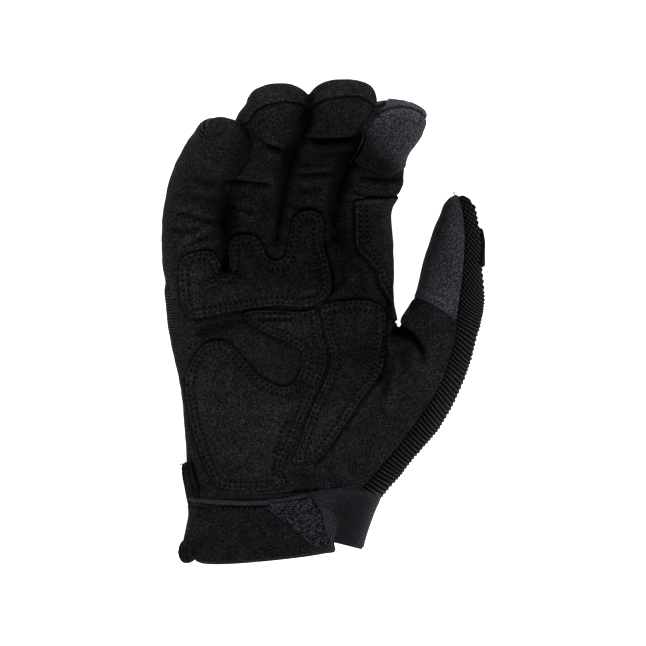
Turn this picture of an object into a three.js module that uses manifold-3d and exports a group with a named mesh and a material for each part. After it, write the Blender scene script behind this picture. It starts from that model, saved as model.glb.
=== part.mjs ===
// A right-hand work glove, empty but keeping the form of a relaxed hand, lying on its back with the palm up.
// X runs towards the thumb, Y towards the fingertips and Z out of the palm. All sizes are in millimetres.
import * as THREE from "three";
import { mergeVertices } from "three/addons/utils/BufferGeometryUtils.js";
import Module from "manifold-3d";

// Driving dimensions
const TALL = 100; // above everything, for upright cuts
const WALL = 2; // suede or knit with its backing
const GAP = 0.35; // between pieces that touch
const TRIM = 0.05; // how far a form is grown to hold its own skin
const WRIST_Y = -78; // where the hand ends and the wrist band begins
const BAND_END_Y = -103.5; // the open end of the wrist band
const STRAP = 1.7; // thickness of the closure strap
const PAD = 2.4; // thickness of the padded overlays
const OVERLAY = 1; // thickness of the flat overlays
const WRIST_SIDES = 16; // facets round the wrist band
const SPLIT_PROUD = 0.9; // how far the form that parts palm from back stands proud of the sides
const SPLIT_REACH = 6; // how far it reaches past the fingertips
const PATCH_PROUD = 4; // how far the form that bounds the overlays stands proud of the hand
const SEAM_STEP = 0.012; // least angle in radians between its corners, which else follow the hand's facets

// Sections of the fingers: centre of the section, how far it faces towards the thumb side (in degrees from
// Y), half its width, its depth on the palm side and on the back, and how far up the side (in degrees from
// the widest point) the palm's cloth ends on the thumb side and on the little-finger side. A small depth on
// the palm side is a crease.
const SECTION = ["x", "y", "z", "turn", "half", "palm", "back", "inner", "outer"];
const LITTLE_FINGER = table(SECTION, [
  [-58.6, 10, 17, 0, 12, 11, 12, 8, 27],
  [-59.8, 25, 18.5, 0, 14.2, 12.6, 14.5, 8, 27],
  [-59.9, 43, 23, 2, 14.4, 11.5, 12.2, 15, 31],
  [-58.8, 57, 30, 7, 13.6, 9.9, 11.6, 22, 42],
  [-56, 66, 36.5, 14, 13.6, 11, 11.3, 15, 50],
  [-51.8, 74, 43.5, 20, 13.4, 11.2, 11, 8, 50],
  [-47.6, 80, 49.5, 18, 13.6, 11, 10.5, 5, 50],
  [-46, 83.6, 53, 12, 12.8, 10, 9.8, 5, 48],
]);
const RING_FINGER = table(SECTION, [
  [-33, 18, 18, 0, 10.5, 10.5, 13, 8, 8],
  [-33, 34, 19, 0, 12, 12.6, 14, 10, 10],
  [-33, 50, 22.5, 1, 12.1, 11.5, 12, 20, 12],
  [-31.4, 63.5, 27, 7, 13.4, 9.3, 11.5, 34, 15],
  [-29.4, 74, 32, 11, 13.7, 11.2, 11.5, 36, 15],
  [-27.2, 81.5, 37.5, 14, 14, 10.2, 11.2, 28, 15],
  [-24, 90.5, 46, 8, 15.6, 11.3, 10.8, 15, 15],
  [-20.3, 98, 53, 0, 14.4, 10.6, 10.4, 8, 10],
]);
const MIDDLE_FINGER = table(SECTION, [
  [-8, 20, 18, 0, 11, 10.5, 13, 5, 5],
  [-7.9, 38, 19.5, 0, 12.9, 12.8, 13.5, 10, 15],
  [-7.5, 55, 23, 3, 12.9, 11.5, 11.8, 22, 28],
  [-5.3, 65.5, 27, 9, 12.7, 9.4, 11.4, 32, 36],
  [-2.9, 73.5, 31, 12, 12.9, 10.8, 11.3, 34, 38],
  [-0.7, 80, 35.5, 13, 12.9, 8.3, 11.3, 30, 34],
  [2, 85.5, 41, 13, 12.8, 11.8, 11.3, 10, 20],
  [6, 92.5, 48, 10, 13.2, 12.2, 11, 0, 12],
  [9.2, 98, 53.2, 1, 14.2, 11.4, 10.8, 0, 8],
  [10.1, 100.8, 56, -3, 14, 10.4, 9.8, 0, 5],
]);
const INDEX_FINGER = table(SECTION, [
  [18.8, 18, 17, 0, 11, 10, 13, -12, 5],
  [18.8, 35, 19, 0, 12.4, 12.8, 13.8, -12, 10],
  [18.4, 55, 22.8, 3, 13.2, 11.5, 11.8, -10, 28],
  [21, 62.5, 26, 8, 14.2, 10.8, 11.5, 0, 34],
  [22.8, 67, 28, 11, 14.4, 8.8, 11.3, 0, 36],
  [23.7, 72.5, 31, 15, 13.6, 11, 11, 0, 34],
  [26.2, 81.5, 36.5, 18, 13.1, 11.4, 10.8, 0, 22],
  [31.8, 90.6, 43, 14, 13.8, 10.8, 10.2, 0, 8],
  [33.6, 94.2, 45.6, 8, 13.4, 9.8, 9.4, 0, 0],
]);
const THUMB = table(SECTION, [
  [0, -86, 14.5, 38, 18, 13.5, 16, 62, -15],
  [27, -54, 16.5, 39, 17.3, 16.5, 17, 63, -15],
  [39, -38, 18.2, 32, 18.2, 18.5, 17, 65, -15],
  [47.8, -21, 20.2, 24, 18.1, 17.8, 17, 62, -15],
  [53.7, -4, 22.8, 18, 17.5, 16, 16, 62, -15],
  [58.6, 10, 26, 10, 15.9, 14.5, 15, 68, -15],
  [60.1, 28, 31, 6, 13.2, 12.8, 13, 68, -15],
  [61.9, 41.5, 35, 6, 10.7, 10.6, 11, 70, -15],
  [62.7, 49, 37.3, 6, 8, 8.6, 9, 80, -15],
]);

// Sections of the hand and wrist, square to Y: the two edges, the height of the widest point, and the depths.
const SPAN = ["y", "left", "right", "z", "palm", "back", "inner", "outer"];
const HAND = spans([
  [-86, -61.8, 14, 15.6, 15, 17.5, 0, 20],
  [-78, -61.8, 15, 15.8, 15.2, 17.5, 0, 20],
  [-45, -64.2, 39, 17, 18, 18.5, 0, 20],
  [-26, -66.6, 43, 17.5, 17, 19, 0, 20],
  [-8, -70.6, 36, 18, 15.8, 19.5, -8, 21],
  [6, -72.4, 32.4, 18, 15.2, 19.5, -8, 22],
  [16, -73.6, 31.6, 18, 14.4, 19, -8, 23],
]);
const KNUCKLES = spans([
  [2, -43.8, 31.8, 18, 14.6, 19, -8, 5],
  [20, -44.4, 31.5, 18.4, 13.8, 18.4, -8, 5],
  [31.6, -44.2, 31.4, 19, 12.9, 16.6, -8, 5],
]);
const WRIST = spans([
  [-78.4, -60.6, 27, 15.6, 15, 17.2, 0, 0],
  [-88, -59.4, 23.2, 15.4, 14.6, 17, 0, 0],
  [-104, -62.4, 18.2, 15.1, 14.4, 16.7, 0, 0],
  [-112, -63, 16.4, 15, 14.4, 16.6, 0, 0],
]);

// How each form ends: how far its rounded end reaches past the last section, how square that end is,
// how square its sections are (2 is an ellipse), and how many facets they have outside and inside.
const FORMS = [
  { rows: HAND, reach: 8, endSquare: 2.2, square: 3, sides: 16, insideSides: 12 },
  { rows: KNUCKLES, reach: 8, endSquare: 2.2, square: 2.8, sides: 12, insideSides: 8 },
  { rows: LITTLE_FINGER, reach: 8.4, endSquare: 2.5, square: 2.2, sides: 12, insideSides: 8 },
  { rows: RING_FINGER, reach: 9.6, endSquare: 2.6, square: 2.2, sides: 12, insideSides: 8 },
  { rows: MIDDLE_FINGER, reach: 7.4, endSquare: 3, square: 2.4, sides: 12, insideSides: 8 },
  { rows: INDEX_FINGER, reach: 6.6, endSquare: 3, square: 2.4, sides: 12, insideSides: 8 },
  { rows: THUMB, reach: 9.6, endSquare: 2, square: 2.1, sides: 12, insideSides: 8 },
];
const END_STEPS = [0.6, 0.93]; // places of the sections of a rounded end, as shares of its reach

// Outlines of the overlays, seen from above the palm.
const XY = ["x", "y"];
const KNUCKLE_PAD = table(XY, [
  [-63.5, 6.2], [-65.4, 14.9], [-65.8, 24.1], [-63.8, 30.6], [-56.2, 33.3], [-51.6, 33.2],
  [-48.4, 29.2], [-45.4, 21.6], [-42.6, 26.4], [-42.6, 34.2], [-40.8, 39.4], [-36.9, 40.8],
  [-31.4, 40.2], [-28.2, 36], [-25.4, 30.6], [-21.3, 28.9], [-17.4, 31], [-15.8, 37.8],
  [-14.4, 46.4], [-11.4, 50.5], [-6.7, 51.6], [-1.8, 50.8], [-0.2, 46.1], [-0.2, 37.8],
  [2.5, 27.3], [3.9, 17.7], [2.1, 12.2], [-3, 8.3], [-10.3, 6.9], [-21.8, 7.6],
  [-37.8, 5.5], [-53.9, 2.8], [-60.3, 2.3],
]);
const HEEL_PAD = table(XY, [
  [-36.6, 3.2], [-34.1, 5.3], [-21.8, 5.7], [-10.3, 5], [-3.6, 6.2], [-1.4, 2.6],
  [-0.4, -5], [1.6, -12], [1.9, -19], [-0.6, -26], [-5.4, -36.2], [-9.6, -46.4],
  [-13.4, -56], [-17.4, -62.6], [-18.8, -68.5], [-16.8, -74.2], [-24.1, -76.2], [-35.5, -76.8],
  [-45.1, -76.2], [-50.2, -73.6], [-54.8, -67.6], [-58, -59.3], [-60.7, -44.7], [-62.6, -30.9],
  [-62.4, -23.6], [-59.4, -15.8], [-54.8, -10.3], [-48.8, -8], [-42.8, -9.4], [-36.4, -15.8],
  [-29.6, -23.6], [-23.1, -27.7], [-16.3, -29.1], [-12.1, -25.4], [-9.9, -18.1], [-10.8, -12.6],
  [-16.7, -8.9], [-27.7, -4.4], [-34, -0.8],
]);
const THENAR_PAD = table(XY, [
  [-0.9, 6.6], [4.4, 9.4], [12.6, 10.2], [20.9, 9.9], [26.4, 7.6], [28.6, 3],
  [28.6, -5.7], [27.7, -18.1], [25, -25.9], [16.3, -36.9], [8, -49.7], [-1.6, -62.1],
  [-8, -63.4], [-14, -63.2], [-11.6, -57], [-8.4, -47], [-4.2, -36.6], [0.8, -26.4],
  [3.2, -19], [3, -12], [0.9, -5],
]);
const INDEX_SIDE_PATCH = table(XY, [
  [14.9, 56], [14.9, 46], [15, 36.4], [17.2, 31.6], [23.4, 25.2], [25.9, 18.6],
  [30.4, 8.5], [31.6, 2.1], [40, 2.1], [40, 30], [40, 56.8], [27, 56.8],
]);
const INDEX_TIP_PATCH = table(XY, [
  [13.9, 74], [18.9, 70.3], [26.2, 67.6], [33, 67.4], [40, 66], [48, 76], [54, 90],
  [50, 99], [44.4, 97.4], [37.6, 98.2], [29, 96.8], [24.6, 94.6], [20.2, 89], [17.8, 82],
]);
const THUMB_TIP_PATCH = table(XY, [
  [36, 13.6], [43, 11.6], [50, 8.8], [57, 4.2], [61.6, 1.2], [72, 1], [76, 20], [76, 62], [50, 64], [38, 40],
]);
const STRAP_OUTLINE = table(XY, [
  [-72, -81.4], [-59, -80.9], [-47, -81.7], [-33, -81.5], [-19.5, -80.4], [-10, -78.6],
  [-6, -78.3], [1, -80.4], [6, -84], [5, -92], [3.9, -100], [4.4, -104.6],
  [0, -106], [-10, -107.6], [-28, -109.6], [-46, -110.9], [-56, -110.4], [-59.4, -107],
  [-60.4, -101.6], [-72, -101.4],
]);
const STRAP_OVERLAY = table(XY, [
  [-72, -85.2], [-50, -85.2], [-28, -85.2], [-22, -88.4], [-15, -93.4], [-9.6, -97.6],
  [-6.8, -102], [-7, -104.6], [-24, -107.6], [-38, -109.2], [-55.4, -109], [-58.8, -106.6],
  [-60, -101], [-72, -100.8],
]);
const HOOK_PATCH = table(XY, [
  [-25.4, -84], [-19.5, -82.8], [-10, -81.8], [-2.2, -82], [-0.4, -84], [-0.4, -95],
  [-0.6, -102.4], [-4.6, -103.2], [-6, -101], [-8.8, -96.4], [-14.4, -91.8], [-21, -87],
]);
const RING_CAP = table(XY, [
  [-50, 96], [-36, 90.4], [-32.6, 93.2], [-28.4, 97.2], [-19.3, 99.8], [-11, 99.2],
  [0, 96.4], [0, 125], [-50, 125],
]);
const MIDDLE_CAP = table(XY, [
  [-12, 96.4], [-0.2, 100.4], [7, 101.8], [15.7, 102.2], [21.1, 99.8], [30, 96], [30, 125], [-12, 125],
]);
// The line from the fork of the thumb to the wrist that parts the thumb's cloth from the palm's, and
// the line under it that parts the two knit pieces of the back.
const THUMB_FRONT_SIDE = table(XY, [
  [44, 75], [35.2, 3], [30, -7], [30.2, -22], [26.6, -38], [19, -60], [8, -84], [95, -84], [95, 75],
]);
const THUMB_BACK_SIDE = table(XY, [
  [44, 75], [35.2, 3], [33, -10], [29, -38], [22, -60], [14, -84], [95, -84], [95, 75],
]);
// The line across the knuckles beyond which each finger has a knit back of its own.
const FINGER_BACKS_SIDE = table(XY, [
  [-95, 26], [-45.4, 26], [-45.4, 42], [95, 42], [95, 125], [-95, 125],
]);

// The upright bound edges of the slit at the little-finger side of the wrist.
const BINDING = ["x", "y", "z"];
const BINDING_WIDE = 2.4;
const BINDING_TALL = 9;
const SLIT_BINDING_BACK = table(BINDING, [
  [-66, -65.4, 16], [-65.4, -72, 16], [-64.4, -78, 15.6], [-63, -83.6, 15],
]);
const SLIT_BINDING_FRONT = table(BINDING, [
  [-65.2, -62, 27.4], [-62.6, -68, 28], [-60.8, -74, 28.4], [-59, -79.4, 28.4],
]);
// The strap's folded lower corner, which hangs past the open end of the wrist.
const STRAP_FOLD = table(BINDING, [
  [-64.2, -102.2, 15], [-64, -106.4, 15], [-62.4, -110.2, 15],
]);
const FOLD_WIDE = 3.2;
const FOLD_TALL = 14;
// The smooth guard on the back of the thumb.
const THUMB_GUARD = { left: 64, right: 82, low: 25.5, high: 43.5, bottom: 20, top: 37.5, thick: 1.1 };

// Colour, roughness and metalness of each material.
const SUEDE = { color: 0x2b2c2e, roughness: 0.95, metalness: 0 };
const KNIT = { color: 0x1d1e20, roughness: 0.9, metalness: 0 };
const TOUCH = { color: 0x44474c, roughness: 0.85, metalness: 0 };
const ELASTIC = { color: 0x3a3d42, roughness: 0.8, metalness: 0 };
const HOOK = { color: 0x34363a, roughness: 0.9, metalness: 0 };
const MOULDED = { color: 0x17181a, roughness: 0.5, metalness: 0 };

// Turns rows of numbers into objects with named values.
function table(columns, rows) {
  return rows.map((row) => Object.fromEntries(columns.map((name, i) => [name, row[i]])));
}

// Sections square to Y, given by their two edges.
function spans(rows) {
  return table(SPAN, rows).map((row) => ({
    ...row,
    x: (row.left + row.right) / 2,
    half: (row.right - row.left) / 2,
    straight: true,
  }));
}

const wasm = await Module();
wasm.setup();

// A closed three.js geometry as a solid that can be joined and cut.
function solid(geometry) {
  const bare = geometry.index ? geometry.toNonIndexed() : geometry.clone();
  bare.deleteAttribute("normal");
  bare.deleteAttribute("uv");
  const merged = mergeVertices(bare, 1e-4);
  return new wasm.Manifold(
    new wasm.Mesh({
      numProp: 3,
      vertProperties: merged.attributes.position.array,
      triVerts: new Uint32Array(merged.index.array),
    }),
  );
}

// Joins a list of solids.
function join(solids) {
  return solids.reduce((all, next) => all.add(next));
}

// The largest of the bodies that a cut leaves.
function mainBody(cut) {
  return cut.decompose().reduce((a, b) => (a.volume() > b.volume() ? a : b));
}

// A rectangular block between two corners.
function block(low, high) {
  const size = new THREE.Vector3(...high).sub(new THREE.Vector3(...low));
  const box = new THREE.BoxGeometry(size.x, size.y, size.z);
  box.translate(low[0] + size.x / 2, low[1] + size.y / 2, low[2] + size.z / 2);
  return solid(box);
}

// Joins rings of points, each with the same number of points, into a closed skin with flat ends.
function skin(rings) {
  const count = rings[0].length;
  const points = rings.flat();
  const faces = [];
  for (let r = 0; r + 1 < rings.length; r += 1) {
    for (let i = 0; i < count; i += 1) {
      const a = r * count + i;
      const b = r * count + ((i + 1) % count);
      faces.push(a, b, a + count, b, b + count, a + count);
    }
  }
  for (const [ring, turn] of [[0, -1], [rings.length - 1, 1]]) {
    const centre = new THREE.Vector3();
    rings[ring].forEach((p) => centre.addScaledVector(p, 1 / count));
    points.push(centre);
    for (let i = 0; i < count; i += 1) {
      const a = ring * count + i;
      const b = ring * count + ((i + 1) % count);
      faces.push(points.length - 1, turn > 0 ? a : b, turn > 0 ? b : a);
    }
  }
  const geometry = new THREE.BufferGeometry();
  geometry.setAttribute("position", new THREE.Float32BufferAttribute(points.flatMap((p) => p.toArray()), 3));
  geometry.setIndex(faces);
  return geometry;
}

// The direction that a section faces: turned from Y as its row says, and rising as its neighbours do.
function direction(rows, i) {
  if (rows[i].straight) return new THREE.Vector3(0, 1, 0);
  const before = rows[Math.max(0, i - 1)];
  const after = rows[Math.min(rows.length - 1, i + 1)];
  const rise = (after.z - before.z) / Math.hypot(after.x - before.x, after.y - before.y);
  const turn = THREE.MathUtils.degToRad(rows[i].turn);
  return new THREE.Vector3(Math.sin(turn), Math.cos(turn), rise).normalize();
}

// The sections of a form with the ones of its rounded end, each with its direction.
function sections(form, grow) {
  const list = form.rows.map((row, i) => ({ ...row, along: direction(form.rows, i), size: 1 }));
  const first = list[0];
  first.x -= first.along.x * grow;
  first.y -= first.along.y * grow;
  first.z -= first.along.z * grow;
  const last = list.at(-1);
  const reach = (form.reach ?? 0) + grow;
  for (const step of form.reach ? END_STEPS : []) {
    list.push({
      ...last,
      x: last.x + last.along.x * reach * step,
      y: last.y + last.along.y * reach * step,
      z: last.z + last.along.z * reach * step,
      size: (1 - step ** form.endSquare) ** (1 / form.endSquare),
    });
  }
  return list;
}

// The point of a section at an angle from its widest point on the thumb side.
function rimPoint(section, square, angle, grow) {
  const across = section.along.clone().cross(new THREE.Vector3(0, 0, 1)).normalize();
  const out = across.clone().cross(section.along);
  const c = Math.cos(angle);
  const s = Math.sin(angle);
  const depth = s > 0 ? section.palm : section.back;
  const wide = (section.half + grow) * section.size * Math.sign(c) * Math.abs(c) ** (2 / square);
  const deep = (depth + grow) * section.size * Math.sign(s) * Math.abs(s) ** (2 / square);
  const centre = new THREE.Vector3(section.x, section.y, section.z);
  return centre.addScaledVector(across, wide).addScaledVector(out, deep);
}

// A form grown by an amount, as a closed skin.
function formSolid(form, grow, sides = form.sides) {
  const rings = sections(form, grow).map((section) =>
    Array.from({ length: sides }, (_, i) => rimPoint(section, form.square, (i / sides) * 2 * Math.PI, grow)),
  );
  return outward(skin(rings));
}

// A closed skin as a solid, turned the right way out.
function outward(geometry) {
  const made = solid(geometry);
  if (made.volume() > 0) return made;
  const index = geometry.index.array;
  for (let i = 0; i < index.length; i += 3) [index[i + 1], index[i + 2]] = [index[i + 2], index[i + 1]];
  return solid(geometry);
}

// The part of a form on the palm side of its two seams, standing proud of it, and lowered by a gap.
function palmSide(form, proud, lower) {
  const rings = sections(form, SPLIT_REACH).map((section) => {
    const from = THREE.MathUtils.degToRad(section.inner);
    const to = Math.PI - THREE.MathUtils.degToRad(section.outer);
    const facet = (2 * Math.PI) / form.sides;
    const count = form.sides / 2 + 3;
    const ring = Array.from({ length: count }, (_, i) => {
      const least = from + SEAM_STEP * i;
      const most = to - SEAM_STEP * (count - 1 - i);
      return rimPoint(section, form.square, Math.min(Math.max((i - 1) * facet, least), most), proud);
    });
    ring.forEach((p) => p.addScaledVector(new THREE.Vector3(0, 0, 1), -lower));
    return ring;
  });
  return outward(skin(rings));
}

function palmSides(proud, lower) {
  return join(FORMS.map((form) => palmSide(form, proud, lower)));
}

// The whole hand grown by an amount, flat underneath and square at the wrist.
function hand(grow) {
  const whole = join(FORMS.map((form) => formSolid(form, grow)));
  return whole.intersect(block([-150, WRIST_Y, -grow], [150, 200, 200]));
}

// The room inside the glove, which runs on past the wrist.
function handRoom() {
  const whole = join(FORMS.map((form) => formSolid(form, -WALL, form.insideSides)));
  return whole.intersect(block([-150, WRIST_Y - 5, WALL], [150, 200, 200]));
}

// The wrist band's form grown by an amount, between two places along Y.
function wrist(grow, from, to) {
  const whole = formSolid({ rows: WRIST, square: 2.8, sides: WRIST_SIDES }, grow);
  return whole.intersect(block([-150, to, -grow], [150, from, 200]));
}

// An upright prism on an outline.
function prism(outline, low, high) {
  const corners = outline.map((p) => new THREE.Vector2(p.x, p.y));
  const shape = new THREE.Shape(corners);
  const geometry = new THREE.ExtrudeGeometry(shape, { depth: high - low, bevelEnabled: false });
  geometry.translate(0, 0, low);
  return solid(geometry);
}

const root = new THREE.Group();
root.name = "tactical_glove";

// Adds a solid to the glove as a named mesh.
function addPiece(name, piece, look) {
  const mesh = piece.getMesh();
  const geometry = new THREE.BufferGeometry();
  geometry.setAttribute("position", new THREE.BufferAttribute(mesh.vertProperties, 3));
  geometry.setIndex(new THREE.BufferAttribute(mesh.triVerts, 1));
  geometry.computeVertexNormals();
  const added = new THREE.Mesh(geometry, new THREE.MeshStandardMaterial(look));
  added.name = name;
  root.add(added);
}

// The four large pieces and the two fingertip caps are cut from one hollow shell.
const shell = hand(0).subtract(handRoom());
const front = palmSides(SPLIT_PROUD, 0);
const frontWithGap = front.add(palmSides(SPLIT_PROUD, GAP));
const overFront = palmSides(PATCH_PROUD, 0);
const palmShell = shell.intersect(front);
const backShell = shell.subtract(frontWithGap);
const fingertips = [
  { name: "ring_tip_cap", form: FORMS.find((form) => form.rows === RING_FINGER), outline: RING_CAP },
  { name: "middle_tip_cap", form: FORMS.find((form) => form.rows === MIDDLE_FINGER), outline: MIDDLE_CAP },
];
const fingertipCuts = fingertips.map((tip) => {
  return formSolid(tip.form, GAP).intersect(prismWithGap(tip.outline, 0, 0, -GAP));
});

// A prism together with a shifted one, which leaves a gap beside a piece that the prism cuts.
function prismWithGap(outline, low, shiftX, shiftY) {
  const shifted = outline.map((p) => ({ x: p.x + shiftX, y: p.y + shiftY }));
  return prism(outline, low, TALL).add(prism(shifted, low, TALL));
}

function palmPanel() {
  const rest = palmShell
    .subtract(prismWithGap(THUMB_FRONT_SIDE, 0, -GAP, 0))
    .subtract(join(fingertipCuts));
  addPiece("palm_panel", mainBody(rest), SUEDE);
}

function thumbPanel() {
  addPiece("thumb_panel", mainBody(palmShell.intersect(prism(THUMB_FRONT_SIDE, 0, TALL))), SUEDE);
}

// The knit of the back: one piece on the hand, and one round the back of each finger.
function backPanels() {
  const rest = backShell
    .subtract(prismWithGap(THUMB_BACK_SIDE, -1, -GAP, 0))
    .subtract(join(fingertipCuts));
  addPiece("back_panel", mainBody(rest.subtract(prismWithGap(FINGER_BACKS_SIDE, -1, 0, -GAP))), KNIT);
  const backs = rest.intersect(prism(FINGER_BACKS_SIDE, -1, TALL));
  const fingers = { little: LITTLE_FINGER, ring: RING_FINGER, middle: MIDDLE_FINGER, index: INDEX_FINGER };
  let before = null;
  for (const [name, rows] of Object.entries(fingers)) {
    const form = FORMS.find((each) => each.rows === rows);
    const own = backs.intersect(formSolid(form, TRIM));
    addPiece(`${name}_finger_back`, mainBody(before ? own.subtract(formSolid(before, GAP)) : own), KNIT);
    before = form;
  }
}

function thumbBackPanel() {
  addPiece("thumb_back_panel", mainBody(backShell.intersect(prism(THUMB_BACK_SIDE, -1, TALL))), KNIT);
}

function fingertipCaps() {
  for (const tip of fingertips) {
    const beyond = prism(tip.outline, 0, TALL);
    addPiece(tip.name, mainBody(shell.intersect(formSolid(tip.form, TRIM)).intersect(beyond)), SUEDE);
  }
}

// A piece of a given thickness laid on the palm side of the hand within an outline.
function overlay(outline, thick, low) {
  const layer = hand(GAP + thick).subtract(hand(GAP));
  return mainBody(layer.intersect(overFront).intersect(prism(outline, low, TALL)));
}

function palmPads() {
  addPiece("knuckle_pad", overlay(KNUCKLE_PAD, PAD, 20), SUEDE);
  addPiece("heel_pad", overlay(HEEL_PAD, PAD, 20), SUEDE);
  addPiece("thenar_pad", overlay(THENAR_PAD, PAD * 0.7, 20), SUEDE);
}

function fingerPatches() {
  addPiece("index_side_patch", overlay(INDEX_SIDE_PATCH, OVERLAY, 17), SUEDE);
  addPiece("index_tip_patch", overlay(INDEX_TIP_PATCH, OVERLAY, 31), TOUCH);
  addPiece("thumb_tip_patch", overlay(THUMB_TIP_PATCH, OVERLAY, 20), TOUCH);
}

function thumbGuard() {
  const g = THUMB_GUARD;
  const layer = hand(GAP + g.thick).subtract(hand(GAP));
  const piece = layer.intersect(block([g.left, g.low, g.bottom], [g.right, g.high, g.top]));
  addPiece("thumb_guard", mainBody(piece), MOULDED);
}

function wristBand() {
  const band = wrist(0, WRIST_Y - GAP, BAND_END_Y).subtract(wrist(-WALL, 0, -200));
  addPiece("wrist_band", mainBody(band), ELASTIC);
}

// The closure strap lies on the band, with a suede overlay and a field of hooks and loops on its face.
const STRAP_LOW = 6;
function strapLayer(outline, under, thick, low) {
  const layer = wrist(under + thick, 0, -200).subtract(wrist(under, 0, -200));
  return mainBody(layer.intersect(prism(outline, low, TALL)));
}

function closureStrap() {
  const face = GAP + STRAP + GAP;
  addPiece("closure_strap", strapLayer(STRAP_OUTLINE, GAP, STRAP, STRAP_LOW), ELASTIC);
  addPiece("strap_overlay", strapLayer(STRAP_OVERLAY, face, OVERLAY, STRAP_LOW + 2), SUEDE);
  addPiece("hook_patch", strapLayer(HOOK_PATCH, face, OVERLAY, 20), HOOK);
}

// A flat band standing on edge along a path.
function uprightBand(path, wide, tall) {
  const rings = path.map((p, i) => {
    const before = path[Math.max(0, i - 1)];
    const after = path[Math.min(path.length - 1, i + 1)];
    const across = new THREE.Vector3(after.y - before.y, before.x - after.x, 0).normalize();
    return Array.from({ length: 10 }, (_, k) => {
      const angle = (k / 10) * 2 * Math.PI;
      const point = new THREE.Vector3(p.x, p.y, p.z).addScaledVector(across, (Math.cos(angle) * wide) / 2);
      point.z += (Math.sign(Math.sin(angle)) * Math.abs(Math.sin(angle)) ** 0.4 * tall) / 2;
      return point;
    });
  });
  return outward(skin(rings));
}

function slitBindings() {
  const clear = join([hand(GAP), wrist(GAP * 2 + STRAP, 0, -200)]);
  const back = uprightBand(SLIT_BINDING_BACK, BINDING_WIDE, BINDING_TALL);
  const frontBand = uprightBand(SLIT_BINDING_FRONT, BINDING_WIDE, BINDING_TALL);
  addPiece("slit_binding_back", mainBody(back.subtract(clear)), KNIT);
  addPiece("slit_binding_front", mainBody(frontBand.subtract(clear)), KNIT);
}

function strapFold() {
  const fold = uprightBand(STRAP_FOLD, FOLD_WIDE, FOLD_TALL);
  addPiece("strap_fold", mainBody(fold.subtract(wrist(GAP, 0, BAND_END_Y - GAP))), ELASTIC);
}

palmPanel();
thumbPanel();
backPanels();
thumbBackPanel();
fingertipCaps();
palmPads();
fingerPatches();
thumbGuard();
wristBand();
closureStrap();
slitBindings();
strapFold();

export default root;
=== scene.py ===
"""A right-hand work glove lying on its back on a pale floor, seen straight from above its palm.

X runs towards the thumb, Y towards the fingertips and Z out of the palm. The tables are in millimetres or in
pixels of the photograph, as their names say, and every mesh is made in metres. The cloth is one smooth body,
cut along its seams into panels with thickness; pads, patches and the strap are laid on it.
"""
import math

import bpy
import numpy as np
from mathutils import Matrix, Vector, noise
from mathutils.bvhtree import BVHTree
from mathutils.kdtree import KDTree


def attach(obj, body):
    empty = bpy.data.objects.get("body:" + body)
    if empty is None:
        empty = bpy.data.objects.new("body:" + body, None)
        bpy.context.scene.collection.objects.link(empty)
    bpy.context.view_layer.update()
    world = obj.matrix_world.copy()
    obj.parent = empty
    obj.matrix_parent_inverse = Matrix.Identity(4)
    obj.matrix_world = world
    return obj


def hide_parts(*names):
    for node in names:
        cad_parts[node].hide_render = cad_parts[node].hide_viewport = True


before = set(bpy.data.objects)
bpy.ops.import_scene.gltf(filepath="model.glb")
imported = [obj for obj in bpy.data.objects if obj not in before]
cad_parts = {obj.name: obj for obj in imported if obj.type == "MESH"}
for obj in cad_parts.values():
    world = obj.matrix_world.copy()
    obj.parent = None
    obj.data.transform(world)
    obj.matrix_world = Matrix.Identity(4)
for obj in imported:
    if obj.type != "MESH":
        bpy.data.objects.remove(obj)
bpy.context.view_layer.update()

MM = 0.001
BODY = "root"
# The values at the points that the materials read, among them painted shade in holes, seams and grooves, and
# painted shade and light over the cloth
SHOWN = ("hole", "painted_shading", "phase", "cross")

# The photograph's frame: its middle and width in pixels, then in mm the size of a pixel at the height PLANE
# and the camera's height and sensor
PHOTO_MIDDLE = 322.5
IMAGE_WIDTH = 646
PIXEL = 0.46
PLANE = 25.0
CAMERA_HEIGHT = 2400.0
SENSOR = 36.0
FOCAL = (CAMERA_HEIGHT - PLANE) / PIXEL

# Meshes: the size of a voxel, the steps along the wrist and the other forms in mm, and the points round them
VOXEL, WRIST_STEP, WRIST_SIDES = ((1.0, 0.75, 300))
FORM_STEP, FORM_SIDES = 2.5, 56
BINDING_STEP, BINDING_SIDES = 0.45, 48
# How close to the end of an edge a cut may come, as a share of the edge
CUT_SHARE = 0.02
# How far from the body's seams distances are worked out, and where rays that look for the skin start, in mm
FAR = 30.0
SKY = 120.0

# Sizes in mm: the cloth, how far suede stands above the knit, the top of the wrist and the end of the cloth
CLOTH = 1.6
SUEDE_PROUD = 0.45
WRIST_Y = -78.0
HAND_END_Y = -84.0
# Overlays: how far their underside lies above the skin, how high a pad starts at its outline and how much its
# turned edge adds, and how high a patch starts
SEAT = 0.1
PAD_BASE, PAD_EDGE = 0.3, 1.1
PATCH_BASE = 0.3
# Stitches: the two rows' distance from a pad's edge, the pitch and radius of the holes, and the thread: its
# radius, how high it arches and, as shares of a stitch, where it comes out and goes in
ROW_ONE, ROW_TWO = 1.5, 4.0
STITCH_PITCH = 2.4
LONGEST_STITCH = 1.6 * STITCH_PITCH
HOLE = 0.68
THREAD, STITCH_ARCH = 0.26, 0.12
STITCH_FROM, STITCH_TO = 0.27, 0.73
# Grooves that a pad's rows press in: distance from its edge, depth and width
PAD_GROOVES = [(ROW_ONE, 0.24, 0.5), (ROW_TWO, 0.36, 0.7)]
# Ribs and loops of the knits and the band
FINE_RIB = 1.3
THUMB_RIB = 2.0
THUMB_RIB_HEIGHT = 0.32
KNIT_LOOP = 1.4
BAND_RIB = 1.4
# The band's thickness, and how far it stands above the wrist's skin
BAND_THICK, BAND_PROUD = 1.4, 0.55
# The strip of finer mesh on the little-finger side: how far it goes past the suede and the X where it ends
STRIP_WIDE, STRIP_RIGHT = 7.0, -40.0
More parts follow.
